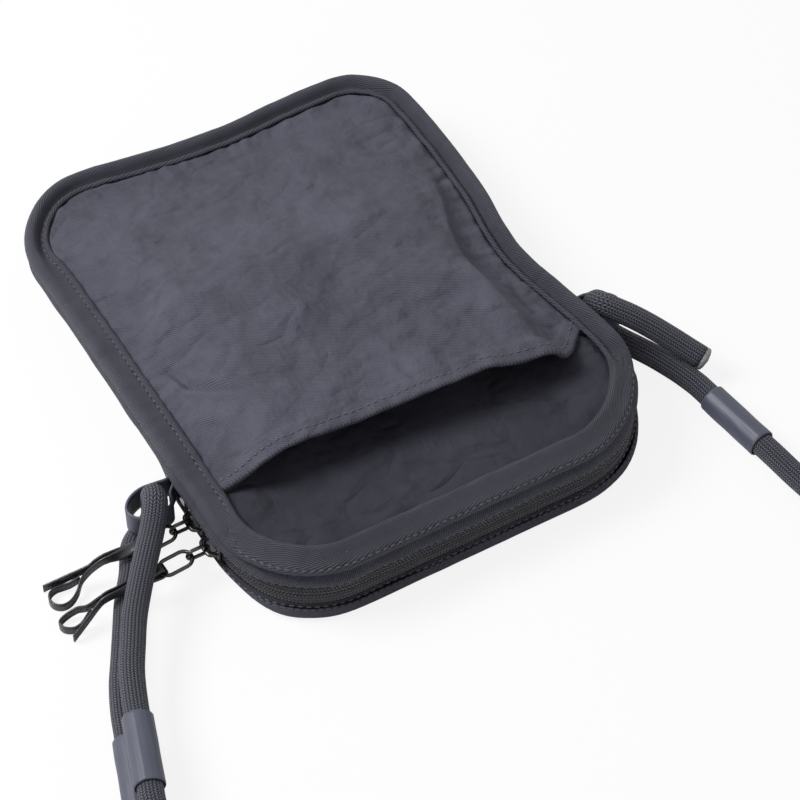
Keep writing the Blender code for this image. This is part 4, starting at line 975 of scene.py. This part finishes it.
def makeWalls():
    start = pouch["zipStartY"]
    upper = clothShell("rimWall", bandRows(ringOutline, walls["upper"], 20, 0.0012, 0.016, 31),
                       walls["thick"], "gusset", closed=True, side=-1)
    bendAtFold(upper)
    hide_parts("upper_gusset")
    side = clothShell("sideWall", bandRows(lambda i: farOutline(i, start), walls["side"],
                                           18, 0.0016, 0.018, 33),
                      walls["thick"], "wall", side=-1)
    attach(side, "pouch")
    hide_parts("side_gusset")
    lower = clothShell("lowerWall", bandRows(lambda i: nearOutline(i, start - sewGap), walls["lower"],
                                             12, 0.0022, 0.019, 35),
                       walls["thick"], "wall")
    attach(lower, "pouch")
    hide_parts("lower_gusset")
    back = clothShell("backBinding", bandRows(ringOutline, walls["back"], 18, 0.0002, 0.010, 37),
                      walls["thick"], "binding", closed=True, side=-1)
    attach(back, "pouch")
    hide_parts("back_binding")


def makeFlats():  # back cloth on the table, and the lining over it
    for name, node, inset, mid, thick, paintName, lift in (
            ("backCloth", "back_panel", 0.0061, 0.0007, 0.0014, "nylon", 0.0),
            ("backLining", "back_lining", 0.0083, 0.0021, 0.0006, "lining", 0.0005)):
        w, l = pouch["halfWidth"], pouch["halfLength"]
        near = endRows(0.0, -l + inset + pouch["rimGap"], -l + pouch["nearRadius"], 50)
        far = endRows(0.0, l - inset - pouch["rimGap"], l - pouch["farLeftRadius"], 50)
        rows, flat = [], []
        for y in near[::-1] + far[1:]:
            radii = (pouch["nearRadius"],) * 2 if y < 0 else (pouch["farLeftRadius"], pouch["farRightRadius"])
            left = -w + sideAt(y, inset, radii[0], math.copysign(l, y))
            right = w - sideAt(y, inset, radii[1], math.copysign(l, y))
            row = []
            for i in range(91):
                x = mix(left, right, i / 90)
                sx, sy, _ = settle(x, y, 0)
                rise = (0.0005 + lift) * (0.5 + 0.5 * ripple(x, y, 0, 0.022, 41))
                row.append((sx, sy, mid + rise * smooth(depth(x, y), inset, inset + 0.012)))
            rows.append(row)
            flat.append([(p[0], p[1]) for p in row])
        piece = clothShell(name, rows, thick, paintName, uv=np.array(flat))
        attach(piece, "pouch")
        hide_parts(node)


makePocket()
makeLining()
makeBinding()
makeWalls()
makeFlats()
print("cloth body sewn")

# Zip: two tape halves with the coil woven in, closed from slider to slider
zipParts = {
    "lower": [(0.0036, 0.0060), (0.0033, 0.0084), (0.0033, 0.0104), (0.0029, 0.0114), (0.00275, 0.0123),
              (0.0029, 0.0131), (0.0033, 0.01345)],
    "upper": [(0.0033, 0.01375), (0.0029, 0.0141), (0.00275, 0.0149), (0.0029, 0.0158), (0.0033, 0.0168),
              (0.0033, 0.0186), (0.0033, 0.0208)],
    "ends": [(0.0137, 0), (0.0142, 0.0005), (0.0152, 0.0006), (0.0165, 0.0001), (0.0184, 0)],
    "endInset": 0.0031, "thick": 0.0008,
}


def makeZip():
    startY, foldY = pouch["zipStartY"], pouch["foldY"]
    lower = clothShell("zipHalfLower", bandRows(lambda i: nearOutline(i, startY - sewGap),
                                                zipParts["lower"], 16, push=0.0012),
                       zipParts["thick"], "tape")
    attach(lower, "pouch")
    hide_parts("zip_tape_lower", "zip_coil_lower")
    upper = clothShell("zipHalfUpper", bandRows(lambda i: nearOutline(i, foldY - sewGap),
                                                zipParts["upper"], 16, push=0.0012),
                       zipParts["thick"], "tape")
    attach(upper, "mouth_flap")
    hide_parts("zip_tape_upper", "zip_coil_upper")
    for sideName, sign in (("left", -1), ("right", 1)):
        x = sign * (pouch["halfWidth"] - zipParts["endInset"])
        rows = [[settle(x + sign * bulge, mix(foldY + sewGap, startY - sewGap, i / 12), z) for i in range(13)]
                for z, bulge in zipParts["ends"]]
        end = clothShell(f"zipEnd{sideName.title()}", rows, zipParts["thick"], "tape", side=sign)
        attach(end, "pouch")
        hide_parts(f"zip_end_{sideName}")


makeZip()
print("zip sewn in")

# Sliders, wire and pulls
slider = {"aY": -0.0543, "bY": -0.0675, "length": 0.0110, "height": 0.0090, "plate": 0.0010,
          "coil": 0.0020, "clearance": 0.00035, "backGap": 0.0009, "bridge": 0.0080, "rise": 0.0026,
          "wire": 0.0012, "bold": 1.22, "postDepth": 0.0018, "postHalf": 0.00075, "lap": 0.0003,
          "flange": 0.0008, "rounding": 0.00025, "bridgeWire": 0.00085, "bridgeFoot": 0.0006,
          "linkLength": 0.0084, "linkWidth": 0.0046, "ringLength": 0.0130,
          "ringWidth": 0.0071, "ringDrop": 0.0015, "inset": 0.0033}


def finish(piece, width, segments=3):  # rounds the edges of a hard part and makes it plain mesh
    step = piece.modifiers.new("edges", "BEVEL")
    step.width, step.segments, step.limit_method = width, segments, "ANGLE"
    deps = bpy.context.evaluated_depsgraph_get()
    mesh = bpy.data.meshes.new_from_object(piece.evaluated_get(deps), depsgraph=deps)
    piece.modifiers.clear()
    piece.data = mesh
    mesh.shade_smooth()
    mesh.set_sharp_from_angle(angle=math.radians(50))
    return piece


def plateMesh(outline, low, high, frameOut):  # an outline in (along, up), thick in (out)
    count = len(outline)
    verts = [frameOut(a, u, low) for a, u in outline] + [frameOut(a, u, high) for a, u in outline]
    faces = [tuple(range(count)), tuple(range(2 * count - 1, count - 1, -1))]
    faces += [(i, (i + 1) % count, count + (i + 1) % count, count + i) for i in range(count)]
    return verts, faces


def makeSlider(key, y, nose):
    s = slider
    tapeX = -pouch["halfWidth"] + s["inset"]

    def at(along, up, out):
        return (tapeX - out, y + along * nose, pouch["zipZ"] + up)

    half, tall = s["length"] / 2, s["height"] / 2
    shield = []  # wide at the shoulders by the nose, narrow at the tail
    for share, width in ((-1, 0.52), (-0.9, 0.66), (-0.3, 0.74), (0.25, 0.98), (0.6, 1.0),
                         (0.86, 0.86), (1.0, 0.5)):
        shield.append((share * half, width * tall))
    shield = [tuple(p) for p in spline(shield, 22)]
    shield = shield + [(a, -u) for a, u in reversed(shield)]
    inner = s["coil"] / 2 + s["clearance"]
    pieces = [plateMesh(shield, inner, inner + s["plate"], at)]
    back = s["coil"] / 2 + s["backGap"]
    pieces.append(plateMesh(shield, -back - s["plate"], -back, at))
    deep, side = s["postDepth"], s["postHalf"]
    post = [(half - deep, -side), (half, -side), (half, side), (half - deep, side)]
    pieces.append(plateMesh(post, -back - s["lap"], inner + s["lap"], at))
    for sign in (-1, 1):  # rolled flanges that hold the coil
        lip = [(-half * 0.92, sign * tall * 0.74), (-half * 0.2, sign * tall * 0.80),
               (half * 0.3, sign * tall * 0.99),
               (half * 0.3, sign * (tall * 0.99 - s["flange"])),
               (-half * 0.2, sign * (tall * 0.80 - s["flange"])),
               (-half * 0.92, sign * (tall * 0.74 - s["flange"]))]
        pieces.append(plateMesh(lip, inner - 2 * s["lap"], inner + s["lap"], at))
    verts, faces = [], []
    for moreVerts, moreFaces in pieces:
        base = len(verts)
        verts += moreVerts
        faces += [tuple(base + i for i in face) for face in moreFaces]
    body = finish(addMesh(f"sliderBody{key}", verts, faces, "enamel"), s["rounding"])
    top = inner + s["plate"] + s["rise"]
    reach = s["bridge"] / 2
    arch = spline([at(-reach, 0, inner + s["bridgeFoot"]), at(-reach * 0.98, 0, top * 0.72),
                   at(-reach * 0.72, 0, top), at(0, 0, top + s["lap"]), at(reach * 0.72, 0, top),
                   at(reach * 0.98, 0, top * 0.72),
                   at(reach, 0, inner + s["bridgeFoot"])], 40)
    bridge = tubeMesh(f"sliderBridge{key}", arch, s["bridgeWire"], 14, "enamel",
                      shape=lambda run, turn: 1 / math.hypot(math.cos(turn) / 0.8, math.sin(turn) / 1.35))
    for piece in (body, bridge):
        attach(piece, f"slider_{key}")
    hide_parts(f"slider_{key}")


def oval(centre, longWay, wideWay, length, width, count=56):
    points = []
    for i in range(count):
        a = math.tau * (i + 0.5) / count
        push = math.copysign((length - width) / 2, math.cos(a))
        points.append(centre + longWay * (math.cos(a) * width / 2 + push)
                      + wideWay * (math.sin(a) * width / 2))
    return np.array([tuple(p) for p in points])


pulls = {
    "width": 0.0034, "thick": 0.0009, "gap": 0.0007, "wrapGap": 0.0011, "reach": 0.038,
    "high": 0.0120, "low": 0.0021,
    "a": {"neck": (0.553, 0.078), "tail": (1.0, 0.184), "drop": (0.36, 0.82),
          "loop": [(0.658, 0.047), (0.737, -0.026), (0.83, -0.08), (0.92, -0.09),
                   (0.985, -0.045), (1.003, 0.03), (0.972, 0.098), (0.90, 0.128),
                   (0.82, 0.122), (0.755, 0.107), (0.70, 0.094), (0.655, 0.084)]},
    "b": {"neck": (0.642, -0.01), "tail": (1.0, -0.105), "drop": (0.57, 0.94),
          "loop": [(0.76, 0.055), (0.837, 0.13), (0.958, 0.14), (1.037, 0.095),
                   (1.026, 0.015), (0.945, -0.034), (0.865, -0.036), (0.80, -0.022),
                   (0.745, -0.004)]},
}


def ribbonMesh(name, spots, width, thick, paintName, count, shellSide=1):
    line = spline([tuple(p) for p, _ in spots], count)
    # width directions follow the same spacing as the line
    known = np.array([tuple(p) for p, _ in spots])
    run = np.concatenate([[0], np.cumsum(np.linalg.norm(np.diff(known, axis=0), axis=1))])
    ways = np.array([tuple(w) for _, w in spots])
    at = np.linspace(0, run[-1], count)
    ways = np.stack([np.interp(at, run, ways[:, k]) for k in range(3)], axis=1)
    ways /= np.linalg.norm(ways, axis=1, keepdims=True)
    rows = [line + ways * width * share for share in (-0.5, -0.3, -0.1, 0.1, 0.3, 0.5)]
    return clothShell(name, rows, thick, paintName, side=shellSide)


def makePull(key, y):
    s, shape = slider, pulls[key]
    up, along, out = Vector((0, 0, 1)), Vector((0, 1, 0)), Vector((-1, 0, 0))
    wire = s["wire"] / 2
    plateOut = s["coil"] / 2 + s["clearance"] + s["plate"]
    linkIn = -pouch["halfWidth"] + s["inset"] - plateOut - s["rise"] + wire + s["clearance"]
    middle = Vector((linkIn - s["linkLength"] / 2, y, pouch["zipZ"]))
    link = tubeMesh(f"pullLink{key}", oval(middle, out, up, s["linkLength"], s["linkWidth"]),
                    wire * s["bold"], 16, "enamel", closed=True)
    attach(link, f"slider_{key}")
    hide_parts(f"pull_link_{key}")
    catch = Vector((linkIn - s["linkLength"], y, pouch["zipZ"])) - out * (2 * wire + s["clearance"])
    ringWay = (out - up * (s["ringDrop"] / s["ringLength"])).normalized()
    ring = tubeMesh(f"pullRing{key}", oval(catch + ringWay * s["ringLength"] / 2, ringWay, along,
                                           s["ringLength"], s["ringWidth"]),
                    wire * s["bold"], 16, "enamel", closed=True)
    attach(ring, f"pull_{key}")
    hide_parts(f"pull_ring_{key}")
    bar = catch + ringWay * s["ringLength"]

    def height(outBy):
        start, end = (share * pulls["reach"] for share in shape["drop"])
        return mix(pulls["high"], pulls["low"], smooth(outBy, start, end))

    def spotAt(shares):
        outBy, alongBy = (share * pulls["reach"] for share in shares)
        return Vector((bar.x - outBy, bar.y + alongBy, height(outBy)))

    neck = spotAt(shape["neck"])
    wrap = wire + pulls["wrapGap"] + pulls["thick"] / 2
    pinch = (pulls["thick"] + pulls["gap"]) / 2
    lay = (neck - bar).normalized()
    flatAcross = lay.cross(up).normalized()
    sideWay = up.cross(lay)
    tailWay = (spotAt(shape["tail"]) - neck).normalized()
    loopWay = (spotAt(shape["loop"][0]) - neck).normalized()
    hand = math.copysign(1, (tailWay - loopWay).dot(sideWay))
    pair = []
    for i in range(9):
        share = i / 8
        turn = math.pi / 2 * smooth(share, 0, 0.75)
        across = flatAcross * math.cos(turn) + up * math.sin(turn)
        apart = across.cross(lay).normalized() * hand
        spread = mix(wrap, pinch, smooth(share, 0, 0.6))
        spot = bar.lerp(neck, share)
        spot.z = height(bar.x - spot.x) + (bar.z - pulls["high"]) * (1 - share)
        pair.append((spot, across, apart * spread))
    tailEnd = spotAt(shape["tail"])
    tailSide = up.cross(tailWay) * -1
    sign = 1 if pair[-1][2].dot(tailSide) > 0 else -1
    shift = tailSide * sign * pinch
    spots = [(tailEnd + shift, up), ((tailEnd + neck) / 2 + shift, up)]
    spots += [(point + move, across) for point, across, move in reversed(pair)]
    first = pair[0]
    for i in range(1, 6):
        turn = math.pi * i / 6
        spots.append((first[0] + first[2] * math.cos(turn) - lay * wrap * math.sin(turn), first[1]))
    spots += [(point - move, across) for point, across, move in pair]
    spots += [(spotAt(shares), up) for shares in shape["loop"]]
    strip = ribbonMesh(f"pullStrip{key}", spots, pulls["width"], pulls["thick"], "strip", 260)
    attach(strip, f"pull_{key}")
    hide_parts(f"pull_strip_{key}")


makeSlider("a", slider["aY"], -1)
makeSlider("b", slider["bY"], 1)
makePull("a", slider["aY"])
makePull("b", slider["bY"])
for node in ("zip_stop_left", "zip_stop_right"):
    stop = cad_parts[node]
    for i in range(len(stop.material_slots)):
        stop.material_slots[i].material = paints["enamel"]
print("sliders and pulls hung")

tab = {"y": -0.0425, "low": 0.0102, "width": 0.0098, "thick": 0.0012, "reach": 0.0210, "spread": 0.0068,
       "lean": 0.0005, "wall": 0.08565,
       "shape": [(0.0, 1.40), (0.0, 1.11), (0.075, 0.92), (0.28, 0.955), (0.59, 0.985), (0.85, 0.64),
                 (1.0, 0.0), (0.95, -0.61), (0.755, -0.985), (0.49, -1.0), (0.25, -0.74), (0.16, -0.02),
                 (0.075, 0.28), (0.015, 0.47), (0.0, 0.68)]}


def makeTab(sideName, sign):
    rows = []
    for k in range(7):
        share = k / 6
        z = tab["low"] + tab["width"] * share
        row = []
        for u, v in tab["shape"]:
            y = tab["y"] + v * tab["spread"]
            foot = settle(sign * tab["wall"], y, z)
            row.append((foot[0] + sign * u * tab["reach"], y + u * tab["lean"] * share, z))
        rows.append(spline(row, 90))
    piece = clothShell(f"sideTab{sideName.title()}", rows, tab["thick"], "satin", side=-sign)
    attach(piece, "pouch")
    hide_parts(f"side_tab_{sideName}")


makeTab("left", -1)
makeTab("right", 1)
print("tabs sewn on")

# Stitches, laid along lines on the cloth
threadLift = 0.00006
stitch = {"seam": {"Spacing": 0.0031, "Length": 0.0022, "Thread": 0.00036, "Slant": 0.0},
          "chain": {"Spacing": 0.00135, "Length": 0.0016, "Thread": 0.00030, "Slant": 0.55}}


def stitchTree():
    tree = bpy.data.node_groups.new("stitchLine", "GeometryNodeTree")
    face = tree.interface
    face.new_socket("Geometry", in_out="INPUT", socket_type="NodeSocketGeometry")
    for label in ("Spacing", "Length", "Thread", "Slant"):
        face.new_socket(label, in_out="INPUT", socket_type="NodeSocketFloat")
    face.new_socket("Material", in_out="INPUT", socket_type="NodeSocketMaterial")
    face.new_socket("Geometry", in_out="OUTPUT", socket_type="NodeSocketGeometry")

    def add(kind, settings=None, **links):
        node = tree.nodes.new(kind)
        for key, value in (settings or {}).items():
            setattr(node, key, value)
        for key, value in links.items():
            socket = node.inputs[int(key[1:])] if key[0] == "_" else node.inputs[key]
            if isinstance(value, bpy.types.NodeSocket):
                tree.links.new(value, socket)
            else:
                socket.default_value = value
        return node

    given = add("NodeGroupInput").outputs
    curve = add("GeometryNodeMeshToCurve", None, Mesh=given["Geometry"])
    even = add("GeometryNodeResampleCurve", {"mode": "LENGTH"}, Curve=curve.outputs[0],
               Length=given["Spacing"])
    lie = add("GeometryNodeInputNamedAttribute", {"data_type": "FLOAT_VECTOR"}, Name="lie")
    turn = add("FunctionNodeAxesToRotation", {"primary_axis": "X", "secondary_axis": "Z"},
               _0=add("GeometryNodeInputTangent").outputs[0], _1=lie.outputs[0])
    lean = add("FunctionNodeAxisAngleToRotation", None, Axis=(0, 0, 1), Angle=given["Slant"])
    turned = add("FunctionNodeRotateRotation", {"rotation_space": "LOCAL"}, _0=turn.outputs[0],
                 _1=lean.outputs[0])
    vary = add("FunctionNodeRandomValue", {"data_type": "FLOAT"}, _2=0.88, _3=1.1, Seed=5)
    length = add("ShaderNodeMath", {"operation": "MULTIPLY"}, _0=given["Length"], _1=vary.outputs[1])
    halfLength = add("ShaderNodeMath", {"operation": "MULTIPLY"}, _0=length.outputs[0], _1=0.5)
    size = add("ShaderNodeCombineXYZ", None, X=halfLength.outputs[0], Y=given["Thread"], Z=given["Thread"])
    ball = add("GeometryNodeMeshUVSphere", None, Segments=8, Rings=5, Radius=1.0)
    laid = add("GeometryNodeInstanceOnPoints", None, Points=even.outputs[0], Instance=ball.outputs[0],
               Rotation=turned.outputs[0], Scale=size.outputs[0])
    real = add("GeometryNodeRealizeInstances", None, Geometry=laid.outputs[0])
    soft = add("GeometryNodeSetShadeSmooth", None, Geometry=real.outputs[0])
    done = add("GeometryNodeSetMaterial", None, Geometry=soft.outputs[0], Material=given["Material"])
    end = add("NodeGroupOutput")
    tree.links.new(done.outputs[0], end.inputs[0])
    return tree


sewing = stitchTree()


def sew(name, lines, look, paintName="thread"):  # lines are (points, normals)
    verts, edges, lies = [], [], []
    for points, normals in lines:
        base = len(verts)
        verts += [tuple(p) for p in points]
        lies += [tuple(n) for n in normals]
        edges += [(base + i, base + i + 1) for i in range(len(points) - 1)]
    mesh = bpy.data.meshes.new(name)
    mesh.from_pydata(verts, edges, [])
    lie = mesh.attributes.new("lie", "FLOAT_VECTOR", "POINT")
    lie.data.foreach_set("vector", np.array(lies, np.float32).ravel())
    piece = bpy.data.objects.new(name, mesh)
    bpy.context.scene.collection.objects.link(piece)
    step = piece.modifiers.new("stitches", "NODES")
    step.node_group = sewing
    values = {**look, "Material": paints[paintName]}
    for item in sewing.interface.items_tree:
        if item.in_out == "INPUT" and item.name in values:
            step[item.identifier] = values[item.name]
    deps = bpy.context.evaluated_depsgraph_get()
    made = bpy.data.meshes.new_from_object(piece.evaluated_get(deps), depsgraph=deps)
    piece.modifiers.clear()
    piece.data = made
    return piece


def along(name, row, lift=threadLift, columns=None, closed=False):
    upper, normals = surfaces[name]
    k = round(row * (len(upper) - 1))
    pick = slice(*columns) if columns else slice(None)
    points, lies = upper[k][pick] + normals[k][pick] * lift, normals[k][pick]
    if closed:
        points, lies = np.concatenate([points, points[:1]]), np.concatenate([lies, lies[:1]])
    return points, lies


def rimSeam():  # near the inner edge, but by the outer edge round the mouth
    upper, normals = surfaces["rimBinding"]
    base = ringOutline(0.0)
    points, lies = [], []
    for i in list(range(len(base))) + [0]:
        k = seamShare(base[i][1]) * (len(upper) - 1)
        low = int(k)
        share = k - low
        points.append(mix(upper[low][i], upper[low + 1][i], share) + normals[low][i] * threadLift)
        lies.append(normals[low][i])
    return np.array(points), np.array(lies)


rimStitches = sew("rimStitches", [rimSeam(), along("rimWall", 0.22, closed=True)], stitch["seam"])
bendAtFold(rimStitches)
hemRow = pocket["stitchRow"] / pocket["rows"]
bodyStitches = sew("bodyStitches", [
    along("pocketCloth", hemRow, columns=(8, -8)), along("lowerWall", 0.86),
    along("backBinding", 0.12, closed=True)], stitch["seam"])
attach(bodyStitches, "pouch")
lowerChain = sew("zipChainLower", [along("zipHalfLower", row, 0.0) for row in (0.42, 0.62)], stitch["chain"])
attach(lowerChain, "pouch")
upperChain = sew("zipChainUpper", [along("zipHalfUpper", row, 0.0) for row in (0.22, 0.42)],
                 {**stitch["chain"], "Slant": -stitch["chain"]["Slant"]})
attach(upperChain, "mouth_flap")
print("stitches laid")

# Table and light
stage = {"floor": 0.94, "floorHalf": 4.0, "floorDrop": 0.0002, "floorGlow": 0.86, "world": 0.30,
         "lamps": [("keyLight", (-0.76, 0.40, 1.06), 17.0, 0.6), ("fillLight", (0.9, -0.9, 1.1), 0.8, 1.2)],
         "aimHeight": 0.02}


def makeStage():
    mesh = bpy.data.meshes.new("floor")
    size = stage["floorHalf"]
    mesh.from_pydata([(-size, -size, 0), (size, -size, 0), (size, size, 0), (-size, size, 0)],
                     [], [(0, 1, 2, 3)])
    floor = bpy.data.objects.new("floor", mesh)
    bpy.context.scene.collection.objects.link(floor)
    floor.location.z = -stage["floorDrop"]
    paint = Paint("paleTable", (stage["floor"],) * 3, 0.8)
    tree = paint.tree
    seen = paint.node("ShaderNodeLightPath", output=0)
    glow = paint.node("ShaderNodeEmission", values={"Color": (1, 1, 1, 1), "Strength": 1.0})
    mixed = paint.node("ShaderNodeMixShader", values=[seen * stage["floorGlow"]])
    node = mixed.socket.node
    tree.links.new(paint.shader.outputs[0], node.inputs[1])
    tree.links.new(glow.socket, node.inputs[2])
    tree.links.new(node.outputs[0], tree.nodes["Material Output"].inputs[0])
    mesh.materials.append(paint.material)
    for name, place, power, across in stage["lamps"]:
        data = bpy.data.lights.new(name, "AREA")
        data.energy, data.size = power, across
        lamp = bpy.data.objects.new(name, data)
        bpy.context.scene.collection.objects.link(lamp)
        aim = Vector(place) - Vector((0, 0, stage["aimHeight"]))
        lamp.matrix_world = Matrix.Translation(place) @ aim.to_track_quat("Z", "Y").to_matrix().to_4x4()
    world = bpy.context.scene.world or bpy.data.worlds.new("studio")
    bpy.context.scene.world = world
    world.use_nodes = True
    tree = world.node_tree
    tree.nodes.clear()
    path = tree.nodes.new("ShaderNodeLightPath")
    soft, white = (tree.nodes.new("ShaderNodeBackground") for _ in range(2))
    soft.inputs["Color"].default_value = (0.95, 0.97, 1.0, 1)
    soft.inputs["Strength"].default_value = stage["world"]
    white.inputs["Strength"].default_value = 1.0
    white.inputs["Color"].default_value = (1, 1, 1, 1)
    either = tree.nodes.new("ShaderNodeMath")
    either.operation = "MAXIMUM"
    tree.links.new(path.outputs["Is Camera Ray"], either.inputs[0])
    tree.links.new(path.outputs["Is Glossy Ray"], either.inputs[1])
    mixed = tree.nodes.new("ShaderNodeMixShader")
    tree.links.new(either.outputs[0], mixed.inputs[0])
    tree.links.new(soft.outputs[0], mixed.inputs[1])
    tree.links.new(white.outputs[0], mixed.inputs[2])
    out = tree.nodes.new("ShaderNodeOutputWorld")
    tree.links.new(mixed.outputs[0], out.inputs[0])
    bpy.context.scene.view_settings.view_transform = "Standard"


makeStage()
